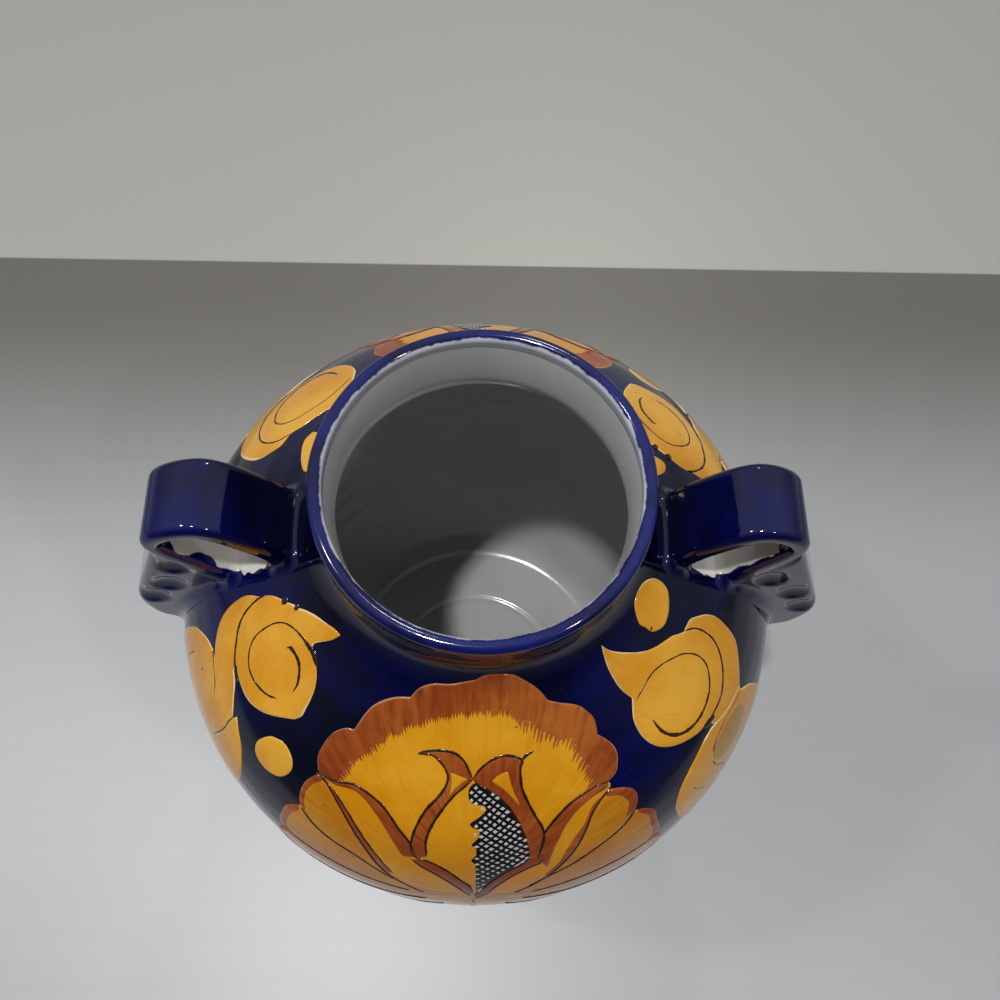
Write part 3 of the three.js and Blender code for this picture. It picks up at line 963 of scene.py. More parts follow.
@dataclass
class Brush:
    """Lays glaze on the pot: filled shapes with a rounded edge, and raised lines."""

    shape: PotShape
    place: Place = FRONT
    aim: Span | None = None             # where the strokes fan out from, or None for upright ones
    fan: float = 50.0                   # distance from there at which the grain across them is to scale
    drawn_out: float = 0.13             # how much finer the strokes are across than along
    sink: float = 0.25                  # how far a shape's edge runs under the ground
    thickness: float = 0.26
    rises_over: float = 0.42            # distance from the edge over which it rises to most of that
    bead: tuple[float, ...] = (0.3, 0.8, 1.7)  # distances of the rows of points along the edge
    grid: float = 3.2                   # distance between the points within
    row_pitch: float = 0.86             # distance between their rows, as a share of it
    apart: float = 0.8                  # least share of a row's distance, and gap to the points within
    on_edge: float = 0.02               # depth below which a point counts as on the edge
    line_end: float = 0.25              # share of a line's width that is left at its ends
    line_uneven: tuple[Span, Span] = ((0.14, 0.9), (0.10, 2.3))  # share of the width, radians a millimetre
    line_rows: tuple[Span, ...] = (     # places across a line, as shares of half its width, and their heights
        (-1.0, -0.15), (-0.7, 0.06), (0.0, 0.09), (0.7, 0.06), (1.0, -0.15))

    def grain(self, points: Array) -> Array:
        """Places across and along the strokes of some flat points."""
        if self.aim is None:
            return np.column_stack([points[:, 0], points[:, 1] * self.drawn_out, np.zeros(len(points))])
        away = points - flat([self.aim])
        turn = np.arctan2(away[:, 0], -away[:, 1])
        return np.column_stack([turn * self.fan, np.hypot(*away.T) * self.drawn_out, np.zeros(len(points))])

    def fill(self, edge: Array, under: float = 0.0, halo: bool = True) -> Patch:
        """Filled shape.

        Args:
            edge: its closed outline in flat millimetres.
            under: how high the glaze under it stands.
            halo: whether its edge thins out to a paler rim, partly a painted highlight.

        Returns:
            The shape, laid on the pot.
        """
        slope = unit(np.roll(edge, -1, axis=0) - np.roll(edge, 1, axis=0))
        inward = np.column_stack([-slope[:, 1], slope[:, 0]]) * (1 if area(edge) > 0 else -1)
        lines = [edge + inward * distance for distance in self.bead]
        low, high = edge.min(0), edge.max(0)
        across = np.arange(low[0], high[0], self.grid)
        down = np.arange(low[1], high[1], self.grid * self.row_pitch)
        rows = [np.column_stack([across + (k % 2) * self.grid / 2, np.full_like(across, y)])
                for k, y in enumerate(down)]
        depths = [self.distance(line, edge) for line in lines]
        kept = [line[depth > self.apart * wanted] for line, depth, wanted in zip(lines, depths, self.bead)]
        if rows:
            inner = np.vstack(rows)
            kept.append(inner[self.distance(inner, edge) > self.bead[-1] + self.apart])
        loose = self._thinned(np.vstack(kept))
        corners = [Vector(p) for p in np.vstack([edge, loose]).tolist()]
        made, _, faces, _, _, _ = delaunay_2d_cdt(corners, [], [list(range(len(edge)))], 1, 1e-4)
        points = np.array([tuple(p) for p in made])
        depth = self.distance(points, edge)
        rise = 1 - np.exp(-depth / self.rises_over)
        lift = np.where(depth < self.on_edge, under - self.sink, under + self.thickness * rise)
        shown = depth if halo else depth + ALL_INSIDE
        return Patch(self.laid(points, lift), self.outward(points, faces), shown, self.grain(points))

    def line(self, path: Array, widths: tuple[float, ...], under: float, taper: float = 2.5) -> Patch:
        """Raised line.

        Args:
            path: its middle in flat millimetres.
            widths: its full widths, at even steps along it.
            under: how high the glaze under it stands.
            taper: how far from each end it starts to narrow.

        Returns:
            The line, laid on the pot.
        """
        run = run_along(path)
        slope = unit(np.gradient(path, run, axis=0))
        across = np.column_stack([-slope[:, 1], slope[:, 0]])
        ends = np.minimum(run, run[-1] - run)
        uneven = sum((share * np.sin(run * often + start)
                      for (share, often), start in zip(self.line_uneven, path[0])), 1.0)
        width = np.interp(run / run[-1], np.linspace(0, 1, len(widths)), widths)
        narrow = self.line_end
        half = width / 2 * np.clip(narrow + (1 - narrow) * ends / taper, narrow, 1) * uneven
        sides, lifts = np.array(self.line_rows).T
        count = len(sides)
        points = (path[:, None] + across[:, None] * (half[:, None] * sides)[..., None]).reshape(-1, 2)
        lift = np.tile(under + lifts, len(path))
        index = np.arange(len(path) - 1)[:, None] * count + np.arange(count - 1)
        faces = np.stack([index, index + 1, index + count + 1, index + count], axis=-1)
        depth = np.full(len(points), ALL_INSIDE)
        return Patch(self.laid(points, lift), self.outward(points, faces.reshape(-1, 4).tolist()), depth,
                     self.grain(points))

    def laid(self, points: Array, lift: Array) -> Array:
        """Flat points laid on the pot."""
        return self.shape.on_outside(*self.place.angle_and_run(points), lift)

    @staticmethod
    def outward(points: Array, faces: list) -> list:
        """Faces turned so that they look away from the pot."""
        return [list(face) if area(points[list(face)]) < 0 else list(face)[::-1] for face in faces]

    @staticmethod
    def distance(points: Array, edge: Array) -> Array:
        """Distance of points from a closed outline."""
        best = np.full(len(points), 1e9)
        for start, end in zip(edge, np.roll(edge, -1, axis=0)):
            span = end - start
            share = np.clip((points - start) @ span / max(span @ span, 1e-9), 0, 1)
            best = np.minimum(best, np.hypot(*(points - start - share[:, None] * span).T))
        return best

    @staticmethod
    def _thinned(points: Array, pitch: float = 0.25) -> Array:
        """Points with those that nearly coincide taken out."""
        _, first = np.unique(np.round(points / pitch), axis=0, return_index=True)
        return points[np.sort(first)]


class Layers:
    """Motif shapes gathered by colour, each colour one piece."""

    def __init__(self, name: str) -> None:
        """Starts with no shapes."""
        self.name = name
        self.made: dict[str, list] = {}

    def add(self, colour: str, patch: Patch) -> None:
        """Adds a shape to a colour."""
        self.made.setdefault(colour, []).append(patch)

    def build(self, finishes: Finishes) -> None:
        """Makes one piece for each colour."""
        for colour, patches in self.made.items():
            slot, material = finishes.motif[colour]
            starts = np.cumsum([0, *(len(patch.points) for patch in patches)]).tolist()
            faces = [[corner + start for corner in face]
                     for start, patch in zip(starts, patches) for face in patch.faces]
            masks = {"depth": np.concatenate([patch.depth for patch in patches]),
                     "grain": np.vstack([patch.grain for patch in patches])}
            body_piece(f"{self.name}_{colour}", np.vstack([patch.points for patch in patches]), faces,
                       material, masks=masks)


PETALS: tuple[tuple[Points, Points, float], ...] = (    # outer edge, way back to its start, glaze under it
    ([(-4, 172), (-7.5, 178.5), (-13, 178), (-18, 172.5), (-19.5, 165.5)],
     [(-11, 158), (-1, 140), (-1, 168)], 0.0),
    ([(2, 172), (6, 178), (12, 177), (17, 171), (18, 164)], [(10, 157), (1, 140), (-1, 166)], 0.0),
    ([(-19, 168), (-25, 169.5), (-30.5, 164), (-33, 156), (-32, 148.5)],
     [(-20, 145), (-4, 134), (-10, 158)], 0.02),
    ([(17.5, 166), (23.5, 167), (29, 161), (31, 153), (30, 146)], [(18, 143), (3, 134), (9, 157)], 0.02),
    ([(-32, 150), (-36, 146.5), (-38.3, 139), (-38, 131.5), (-35.5, 126.5)],
     [(-22, 127), (-6, 128), (-14, 141)], 0.04),
    ([(30, 147.5), (33.5, 143), (35.3, 136), (35, 129), (33, 124.5)], [(20, 125), (4, 127), (13, 139)], 0.04),
    ([(-35.5, 128.5), (-38, 124), (-38.2, 117), (-37.8, 108.4), (-36.8, 104.7), (-35.2, 101)],
     [(-30, 106), (-14, 116), (-4, 126), (-18, 129.5)], 0.06),
    ([(32.5, 126.5), (34.8, 120), (34.6, 112), (34.7, 104.7), (33.4, 100.2), (30.9, 96.3)],
     [(25.6, 102.9), (13.6, 112.9), (3, 124), (16, 127)], 0.06),
    ([(-34.6, 102), (-35.5, 99.3), (-36.2, 93.8), (-36, 87.5), (-34.6, 81.3)],
     [(-28, 86), (-16, 108), (-9, 124), (-20, 114), (-30.5, 107.2)], 0.08),
    ([(30.6, 96.5), (31.6, 94.3), (32.4, 89.7), (31.9, 85.6), (30.3, 82.5), (27.6, 79.8)],
     [(22, 85), (12, 108), (6, 123), (16, 112), (25.6, 103.3)], 0.08),
    ([(-34.9, 80.6), (-30.1, 79), (-26.4, 76.3), (-20.1, 79.4), (-15.4, 88), (-12.8, 93.8), (-11.4, 100)],
     [(-6, 110), (-2, 123), (-9, 124), (-16.5, 116), (-21.7, 102), (-27.4, 89.3), (-32.1, 82)], 0.12),
    ([(27.9, 76.5), (24, 75.6), (17.8, 79), (12.8, 87.5), (11.6, 95), (10.8, 101.5)],
     [(5, 110), (1.5, 123), (6, 124), (12.6, 114.3), (18.3, 100.2), (22.5, 86.5), (25.2, 81.6), (27.9, 78.8)],
     0.12),
)
PETAL_RIMS: tuple[tuple[Points, Points], ...] = (
    (PETALS[10][0], [(-13.9, 101.1), (-16, 95.6), (-18, 90.2), (-20.1, 85.6), (-23.3, 80.8), (-26.4, 79),
      (-30.5, 81)]),
    ([(-34.9, 80.6), (-32.1, 82), (-27.4, 89.3), (-21.7, 102), (-16.5, 116)],
     [(-15.3, 114.5), (-19.8, 102.6), (-25.6, 89.8), (-30.2, 82.8)]),
    (PETALS[11][0], [(12.4, 107.8), (13.5, 101.1), (15.1, 93.8), (17.2, 87), (20, 82.3), (23.4, 79.6),
      (27.2, 78.6)]),
    ([(27.9, 79.4), (25.2, 81.6), (22.5, 86.5), (18.3, 100.2), (12.6, 114.3)],
     [(11.6, 113), (14.4, 106.5), (15.9, 100.6), (18, 94.3), (20.6, 88.8), (23.4, 81.8)]),
    (PETALS[8][0], [(-33, 82.4), (-34.3, 86.5), (-34.9, 92.2), (-34.3, 98), (-33.6, 101.2)]),
    (PETALS[9][0], [(26.1, 81.6), (28.7, 84.7), (29.9, 88.4), (29.8, 92), (28.7, 96.3)]),
    (PETALS[6][0], [(-34.9, 104.8), (-36, 109), (-36.5, 117), (-36.2, 123.5), (-34, 127.8)]),
    (PETALS[7][0], [(31.9, 100.8), (33, 105), (33, 112), (33.1, 120), (31.2, 126)]),
    (PETALS[4][0], [(-34.8, 128.6), (-36.4, 132.6), (-36.6, 139), (-34.6, 145.2), (-31.4, 148.4)]),
    (PETALS[5][0], [(32.4, 126.4), (33.4, 130), (33.6, 136), (32.2, 142), (29.4, 146)]),
    (PETALS[2][0], [(-31, 150.4), (-31.3, 156.2), (-29, 163), (-24.6, 167.4), (-19.8, 166.6)]),
    (PETALS[3][0], [(29, 148.2), (29.4, 153.4), (27.6, 160), (23.2, 164.9), (18.2, 164.4)]),
    (PETALS[0][0], [(-18.2, 166.4), (-16.7, 171.6), (-12.6, 175.8), (-8.1, 176.2), (-5.3, 171.4)]),
    (PETALS[1][0], [(16.8, 164.8), (15.8, 170.2), (11.5, 174.9), (6.6, 175.6), (3.2, 171.2)]),
)
PETAL_LINES: tuple[Points, ...] = (
    PETALS[10][0],
    [(-34.9, 80.6), (-32.1, 82), (-27.4, 89.3), (-21.7, 102), (-16.5, 116), (-9.5, 128)],
    [(-30.2, 82.8), (-25.6, 89.8), (-19.8, 102.6), (-15.3, 114.5)],
    PETALS[11][0],
    [(27.9, 79.4), (25.2, 81.6), (22.5, 86.5), (18.3, 100.2), (12.6, 114.3), (6.5, 126)],
    [(-34.6, 101.6), (-32.6, 104.7), (-30.5, 107), (-27.9, 108.8), (-22, 112), (-15, 120)],
    [(31, 96.1), (28.7, 99.7), (25.6, 102.9), (21.4, 106.5), (17.8, 110.2), (13.6, 114), (9, 120)],
    [(-35.5, 127.8), (-22, 128.4), (-12, 129)],
    [(33, 125.8), (20, 126.6), (9, 128)],
    [(-32, 149.4), (-20, 145.2), (-9, 137.5)],
    [(30, 146.8), (18, 143.6), (8, 136.5)],
    [(-19.3, 166.8), (-12.5, 159), (-6, 146)],
    [(17.8, 165), (11, 157.6), (5, 145.5)],
    [(-1, 169), (-0.8, 158), (-0.7, 134)],
)


@dataclass
class Flower:
    """Big open flower: rust fringe, golden bowl, curled tulip petals, netted middle and side petals."""

    shape: PotShape
    finishes: Finishes
    name: str
    place: Place
    line_width: float = 1.15
    heart: Span = (-1.0, 104.0)         # where the bowl's brush strokes run to
    fringe_lift: float = 0.16           # height of the glaze under the fringe
    stroke_lift: float = 0.34           # and under the loose strokes inside it
    stroke_taper: float = 0.4
    stroke_widths: tuple[float, ...] = (1.9, 1.6, 0.8, 0.25)
    stroke_pitches: tuple[tuple[float, float, int], ...] = (  # their reach, pitch and seed, right and left
        (5.6, 1.9, 3), (2.9, 1.25, 5))
    stroke_turn: int = 9                # point of the fringe's inside at which the left ones start
    lit_lift: float = 0.2               # how much higher than the curled petals their lit spots lie
    line_sunk: float = 0.1              # how far the tulip's lines lie below two coats of glaze
    line_lift: float = 0.42             # height of the glaze under the side petals' lines
    tulip_line: tuple[float, ...] = (0.8, 1.1, 0.7)       # shares of the line's width along it
    petal_line: tuple[float, ...] = (0.7, 1.0, 0.6)
    cell: Span = (0.94, 0.83)           # half the width and height of a cell of the net
    cell_pitch: Span = (3.2, 1.6)       # from cell to cell in a row, and from row to row
    cell_start: Span = (-1.6, 64.8)     # middle of its first cell
    cell_drift: Span = (0.05, 0.25)     # how far each row lies to the right, and each column higher
    cell_gap: float = 0.7               # least distance from a cell's middle to the net's edge
    cell_rows: int = 39
    cell_columns: tuple[int, int] = (-1, 8)
    cell_sizes: Span = (0.8, 1.1)       # smallest and largest share of a cell's size
    cell_shrink: Span = (1.15, 0.010)   # share of the size left at the first row, and its loss a row
    cell_shake: float = 0.06            # how far its corners stray
    cell_lifts: Span = (0.29, 0.36)     # height of its corners and of its middle

    fringe_lobes: tuple[Points, ...] = (
        [(-34.9, 79.7), (-36.3, 74.7), (-36.5, 70.2), (-36.3, 65.6), (-35.5, 61.5), (-33.7, 57.9),
         (-31.7, 56.4)],
        [(-31.7, 56.4), (-31.4, 52.5), (-31.2, 50.2), (-30.4, 45.6), (-28.7, 41.5), (-25.9, 37.9),
         (-23.3, 36), (-21, 34.9)],
        [(-21, 34.9), (-19.6, 31.1), (-17.5, 28.4), (-14.4, 26.5), (-9.7, 25.3), (-5.5, 23.6), (-2, 22.4)],
        [(-2, 22.4), (0.6, 20.4), (3.2, 19.6), (7.4, 20), (11, 21.5), (13.6, 24.3), (16.2, 27.5),
         (18.3, 31.1), (19.9, 35.6)],
        [(19.9, 35.6), (23, 38.2), (25.6, 40.2), (27.9, 42.7), (29.5, 46.5), (30.3, 50.2), (30, 53.4),
         (29.5, 56.5)],
        [(29.5, 56.5), (30.7, 59.3), (31.9, 63.8), (32, 67.5), (31.3, 71.1), (30, 74.7), (27.8, 76.5)],
    )
    fringe_inside: Points = (
        (24.2, 75.8), (24.8, 68.4), (24, 62.9), (23, 57.5), (23.5, 53.4), (20.4, 52), (17.8, 48.4),
        (15.2, 45.2), (13.6, 41.5), (11, 40.2), (8.9, 37.5), (6.9, 35.5), (3.2, 35.2), (0.1, 34.5),
        (-2.9, 35.8), (-5.5, 36.1), (-8.1, 37), (-10.8, 38.4), (-13.9, 40.2), (-16.5, 42.9), (-19.1, 45.2),
        (-21.2, 48.4), (-23.3, 51.1), (-25.3, 57), (-26.9, 61.5), (-28.6, 66.5), (-29.2, 70.2), (-29.4, 74.8),
        (-30, 78.8))

    def build(self) -> None:
        """Makes every layer of the flower."""
        layers = Layers(self.name)
        brush = Brush(self.shape, self.place, self.heart)
        self.side_petals(layers, brush)
        self.bowl(layers, brush)
        self.tulip(layers, brush)
        self.net(layers, brush)
        layers.build(self.finishes)

    def bowl(self, layers: Layers, brush: Brush) -> None:
        """Golden bowl with its scalloped fringe."""
        left = [(-13.4, 92), (-15.4, 88), (-17.5, 83.8), (-20.1, 79.7), (-23.3, 77.4), (-26.4, 76.6)]
        right = [(24, 75.9), (20.9, 76.7), (17.8, 79.3), (15.2, 82.9), (12.8, 87.5), (11.8, 95)]
        foot = [(9.5, 101), (2, 114), (-0.6, 126)]
        other = [(-4.5, 114), (-10.5, 101.5), (-12.2, 97)]
        wide = [(-30.1, 79.3), (-31.5, 79), (-33, 70), (-31.5, 60), (-28, 48), (-23, 40), (-15, 31.5),
                (-6, 28.5), (3, 25.5), (12, 31), (20, 42), (26, 50), (28, 60), (29, 70), (27.2, 76.5)]
        layers.add("golden", brush.fill(closed(wide, right, foot, other, left)))
        outer = np.vstack([smooth(lobe)[:-1] for lobe in self.fringe_lobes])
        close = smooth([(27.8, 76.5), (24.2, 75.8)])[:-1]
        inner = smooth(self.fringe_inside)[:-1]
        back = smooth([(-30.0, 78.8), (-32.0, 81.2), (-34.9, 79.7)])[:-1]
        layers.add("rust", brush.fill(np.vstack([outer, close, inner, back]), self.fringe_lift))
        sides = self.fringe_inside[:self.stroke_turn + 1], self.fringe_inside[self.stroke_turn:]
        for points, pitches in zip(sides, self.stroke_pitches):
            for stroke in strokes(smooth(points), self.heart, *pitches):
                line = brush.line(stroke, self.stroke_widths, self.stroke_lift, self.stroke_taper)
                layers.add("rust", line)

    def tulip(self, layers: Layers, brush: Brush) -> None:
        """Two curled petals round the net, and the V under them."""
        high = brush.thickness
        left_outer = [(-15.2, 54.7), (-11.8, 53.9), (-9.7, 55.6), (-7.9, 58.8), (-7.2, 61.5), (-7.6, 65.6),
                      (-8.9, 70.2), (-10.8, 75.6), (-11.9, 81.1), (-12.6, 87.5), (-12.8, 93.8), (-12.3, 98.4),
                      (-11.2, 100.6)]
        left_inner = [(-1.6, 61.3), (-3.5, 64.7), (-5.5, 68.4), (-7.4, 73.8), (-8.9, 79.7), (-9.8, 85.6),
                      (-10.1, 91.1), (-9.6, 98.4)]
        left_top = [(-15.2, 54.7), (-13.9, 53.4), (-11.3, 52), (-8.7, 51.4), (-6.1, 52), (-4, 54.3),
                    (-2.7, 57.9), (-1.6, 61.3)]
        right_top = [(-1.6, 61.3), (-0.2, 57.9), (1.6, 55.2), (3.7, 53.4), (6.1, 52.7), (8.4, 53.6),
                     (10.1, 55.5)]
        right_tip = [(9.6, 56.6), (11, 54), (13.2, 52.9)]
        right_outer = [(10.1, 55.5), (9.5, 57.5), (9.2, 61.1), (9.2, 66.5), (10, 72), (11.3, 79.3),
                       (12.3, 84.7), (12.5, 89.3), (12, 93.8), (10.9, 99.5)]
        right_inner = [(-1.6, 61.3), (-0.2, 63.8), (1.6, 65.6), (3.7, 68.4), (5.8, 72.9), (7.4, 78.8),
                       (8.4, 84.7), (9, 91.1), (9.4, 99.3)]
        for petal in (outline(left_top, left_inner, [left_inner[-1], left_outer[-1]], left_outer[::-1]),
                      outline(right_top, right_outer, [right_outer[-1], right_inner[-1]], right_inner[::-1])):
            layers.add("rust", brush.fill(petal, high, False))
        for lit in (closed([(-6.9, 59), (-2.6, 61.2)], [(-5.2, 65.5), (-7, 70.6)], [(-6.4, 64.5)]),
                    closed([(2.4, 62.2), (4.4, 59.6), (6.6, 58.6)], [(7.3, 66), (9, 75.4)], [(5.6, 66.9)])):
            layers.add("golden", brush.fill(lit, high + self.lit_lift, False))
        left_v = [(-11.3, 100.6), (-8.7, 101.5), (-5.5, 106.1), (-3.5, 111.1), (-1.6, 116.5), (-0.9, 124.2)]
        left_v_low = [(-12.4, 101.5), (-10, 105.5), (-7.6, 108.8), (-5.3, 113.4), (-3.4, 118.8),
                      (-1.4, 126.4)]
        right_v = [(9.4, 99.3), (7.9, 102.5), (5.3, 106), (3.2, 110.6), (1.7, 115.6), (0.6, 121),
                   (-0.6, 126.8)]
        right_v_low = [(11.8, 98.5), (11.4, 103.2), (9.2, 105.4), (6.3, 109.2), (4.3, 113.6), (2.9, 118),
                       (1.6, 124), (-0.4, 130)]
        for upper, lower in ((left_v, left_v_low), (right_v, right_v_low)):
            leg = outline(upper, [upper[-1], lower[-1]], lower[::-1], [lower[0], upper[0]])
            layers.add("rust", brush.fill(leg, high, False))
        widths = tuple(share * self.line_width for share in self.tulip_line)
        for path in (left_outer, left_inner, left_top, right_top + right_outer[1:], right_tip, right_inner,
                     left_v, left_v_low, right_v, right_v_low):
            layers.add("line", brush.line(smooth(path), widths, high * 2 - self.line_sunk))

    def net(self, layers: Layers, brush: Brush) -> None:
        """Netted middle: black ground with a scalloped left edge, rows of pale cells and bare specks."""
        high = brush.thickness
        right = [(-1.3, 62.6), (1.1, 64.6), (3.6, 67.6), (5.5, 72.7), (7.7, 78.7), (8.8, 85.6), (9.4, 91.5),
                 (9.5, 99.5)]
        low = [(6.3, 104.1), (2.4, 112), (0.7, 119.4), (-0.5, 126)]
        scallops = ([(-0.6, 110.1), (-0.7, 100.9)], [(-1.5, 98.3), (-0.6, 95.4)], [(-0.7, 92), (-1.7, 89.9)],
                    [(-0.3, 86.3), (0, 82.9)], [(-1.2, 82.2), (-2, 80), (0, 76.7), (1.3, 74.1)],
                    [(0.8, 72.4), (-0.5, 72.2), (-2, 71), (-2.6, 68.1), (-2.4, 65)])
        shape = closed(right, low, *scallops)
        layers.add("black", brush.fill(shape, high, False))
        for path, width in (([(0.3, 72.9), (0.9, 74.4)], 1.7), ([(-0.9, 83.9), (-0.7, 85.6)], 1.5),
                            ([(-1.5, 93.4), (-1.3, 94.8)], 1.2), ([(9, 98.6), (7.8, 101), (6.4, 103.2)], 0.9),
                            ([(0.6, 118), (0.1, 122)], 0.8)):
            layers.add("pale", brush.line(smooth(path), (width,), high + 0.16, 0.8))
        chance = np.random.default_rng(11)
        across, down = self.cell_pitch
        left, top = self.cell_start
        drift, rise = self.cell_drift
        whole, loss = self.cell_shrink
        corner_lift, middle_lift = self.cell_lifts
        lifts = high + np.array([corner_lift] * 4 + [middle_lift])
        for row in range(self.cell_rows):
            for column in range(*self.cell_columns):
                middle = np.array([left + (column + row % 2 * 0.5) * across + drift * row,
                                   top + row * down - column * rise])
                if not inside(*middle, shape) or Brush.distance(middle[None], shape)[0] < self.cell_gap:
                    continue
                size = chance.uniform(*self.cell_sizes, 2) * self.cell * min(1.0, whole - loss * row)
                cell = middle + np.array([(1, 0), (0, 1), (-1, 0), (0, -1)]) * size
                cell = np.vstack([cell + chance.normal(0, self.cell_shake, (4, 2)), middle])
                points = brush.laid(cell, lifts)
                faces = brush.outward(cell, [[i, (i + 1) % 4, 4] for i in range(4)])
                layers.add("pale", Patch(points, faces, np.full(5, ALL_INSIDE), np.zeros((5, 3))))

    def side_petals(self, layers: Layers, brush: Brush) -> None:
        """Petals that fan out under the bowl on both sides and close below it."""
        lowest = closed([(-13, 112), (-20, 130), (-15, 146), (-1, 154)], [(13, 145), (18, 128), (12, 110)],
                        [(-1, 122)])
        layers.add("deep", brush.fill(lowest))
        for number, (outer, back, under) in enumerate(PETALS):
            layers.add("golden" if number > 9 else "deep", brush.fill(closed(outer, back), under))
        for number, (outer, back) in enumerate(PETAL_RIMS):
            layers.add("rust", brush.fill(closed(outer, back), 0.26 if number < 4 else 0.24, False))
        widths = tuple(share * self.line_width for share in self.petal_line)
        for path in PETAL_LINES:
            layers.add("line", brush.line(smooth(path), widths, self.line_lift))


@dataclass
class Scroll:
    """Curled leaf with a spiral line, and the lobed leaf that its tail runs down into."""

    shape: PotShape
    finishes: Finishes
    name: str
    place: Place
    edges: tuple[tuple[Points, ...], ...]
    lines: tuple[tuple[Points, tuple[float, ...]], ...]
    rounds: tuple[Points, ...]          # duller rounds in the middle of the lower leaves
    aim: Span = (9.0, 42.0)             # from a leaf's middle to where its brush strokes fan out from
    leaf_step: float = 0.05             # how much higher each leaf lies than the one before it
    round_lift: float = 0.2             # height of the glaze under the rounds
    line_lift: float = 0.28             # and under the lines

    def build(self) -> None:
        """Makes the scroll's fills and lines."""
        layers = Layers(self.name)
        for k, parts in enumerate(self.edges):
            edge = outline(*parts)
            middle = edge.mean(axis=0) / (DEGREE, 1.0)
            brush = Brush(self.shape, self.place, (middle[0] + self.aim[0], middle[1] + self.aim[1]))
            layers.add("orange", brush.fill(edge, self.leaf_step * k))
        for points in self.rounds:
            layers.add("ochre", brush.fill(closed(points), self.round_lift, False))
        for path, widths in self.lines:
            layers.add("line", brush.line(smooth(path), widths, self.line_lift))
        layers.build(self.finishes)


LEFT_SCROLL_EDGES = (
    ([(-62.8, 82), (-60.5, 84.5), (-58.5, 89), (-56.8, 93.5), (-55.6, 98), (-54.9, 104), (-55.3, 112),
      (-57, 122)],
     [(-57, 122), (-60, 116), (-60, 108), (-61.1, 104), (-62.8, 99.5), (-65.1, 95.5), (-68.8, 90.3)],
     [(-68.8, 90.3), (-71.1, 87), (-73.4, 83), (-75.1, 78), (-76, 73), (-76.3, 67), (-75.9, 63),
      (-74.5, 58.5), (-73.4, 55.5)],
     [(-73.4, 55.5), (-66, 60), (-62.8, 82)]),
    ([(-49, 30.8), (-51.9, 31.2), (-55.3, 32.8), (-59.4, 35), (-62.8, 38), (-64.8, 40.5), (-66.8, 42.5),
      (-68.8, 45.5), (-71.1, 48.5), (-72.8, 52), (-73.7, 56), (-73.5, 60.5), (-72.8, 65), (-71.4, 69),
      (-69.4, 72.3), (-66.5, 75.8), (-64.3, 78.5), (-61.9, 81), (-59, 82.4), (-57, 82.9), (-54.8, 82.4),
      (-51.9, 80), (-49.6, 77), (-47.3, 73.5), (-45, 70)],
     [(-45, 70), (-44, 66.5), (-44.2, 63), (-44.7, 58), (-45.6, 53.5), (-47.3, 49.5), (-50.2, 46),
      (-53.4, 43.6)],
     [(-53.4, 43.6), (-53.5, 42), (-51.9, 38.5), (-50.2, 35), (-49, 30.8)]),
    ([(-69.7, 90.6), (-72.2, 92.4), (-74.6, 96.5), (-76.7, 102), (-77.9, 109), (-78.7, 116), (-79.2, 124),
      (-79, 134), (-77.6, 145), (-74, 154), (-69, 159.5), (-64, 168)],
     [(-64, 168), (-60, 158.5), (-58.5, 147), (-58, 132), (-57.6, 122)],
     [(-57.2, 122), (-59.2, 114), (-59.6, 107), (-60.8, 102.4), (-62.8, 97.4), (-65.9, 92.4), (-69.7, 90.6)]),
    ([(-55.4, 93.4), (-53.6, 97), (-51.3, 102), (-49.9, 108), (-49, 115), (-48.8, 123), (-49.6, 133),
      (-51.6, 143), (-55.4, 152), (-61, 160.5)],
     [(-61, 160.5), (-60, 147), (-59.4, 132), (-58.2, 121)],
     [(-58.2, 121), (-56.6, 112), (-56.1, 104), (-56.1, 98), (-55.4, 93.4)]),
)
LEFT_SCROLL_LINES = (
    ([(-48.2, 47.4), (-49.6, 46.4), (-51.9, 45.2), (-55.3, 44.8), (-58.8, 45.5), (-61.6, 47), (-63.9, 49.5),
     (-65.4, 53.5), (-65.9, 58), (-65.9, 63), (-65.1, 67.5), (-63.1, 71.5), (-60.5, 74), (-57.6, 74.5),
     (-54.8, 73.5), (-52.8, 72), (-51.2, 69.8)], (2.0, 2.3, 1.1, 0.9, 1.0, 1.0, 1.0, 1.3, 1.1)),
    ([(-58.1, 53.4), (-57.6, 51.9), (-54.8, 51.6), (-52.5, 52.8), (-50.8, 55.5), (-49.6, 58.5),
     (-49.2, 62.5)], (2.0, 2.0, 1.7, 1.0)),
    ([(-73.4, 54.5), (-73.6, 58), (-72.8, 64), (-71.6, 68.5), (-69.9, 72), (-67.3, 75.5), (-65.1, 78.5),
     (-62.8, 81), (-60.3, 82.8)], (1.0, 1.3, 1.1)),
    ([(-69.5, 90.7), (-66.8, 93), (-64, 96.4), (-62.3, 100.3)], (0.7,)),
    ([(-55.9, 95), (-56.2, 100), (-56.2, 105), (-56.8, 112), (-57.7, 119), (-59, 134), (-60.2, 148)],
     (0.65,)),
    ([(-72.6, 107), (-73.1, 112), (-73.8, 119)], (1.0,)),
    ([(-68.4, 102.2), (-68.1, 104.6)], (1.8,)),
    ([(-69.8, 45.2), (-68.2, 46.6)], (7.5,)),
    ([(-66, 40.9), (-64.6, 42.2)], (6.5,)),
)
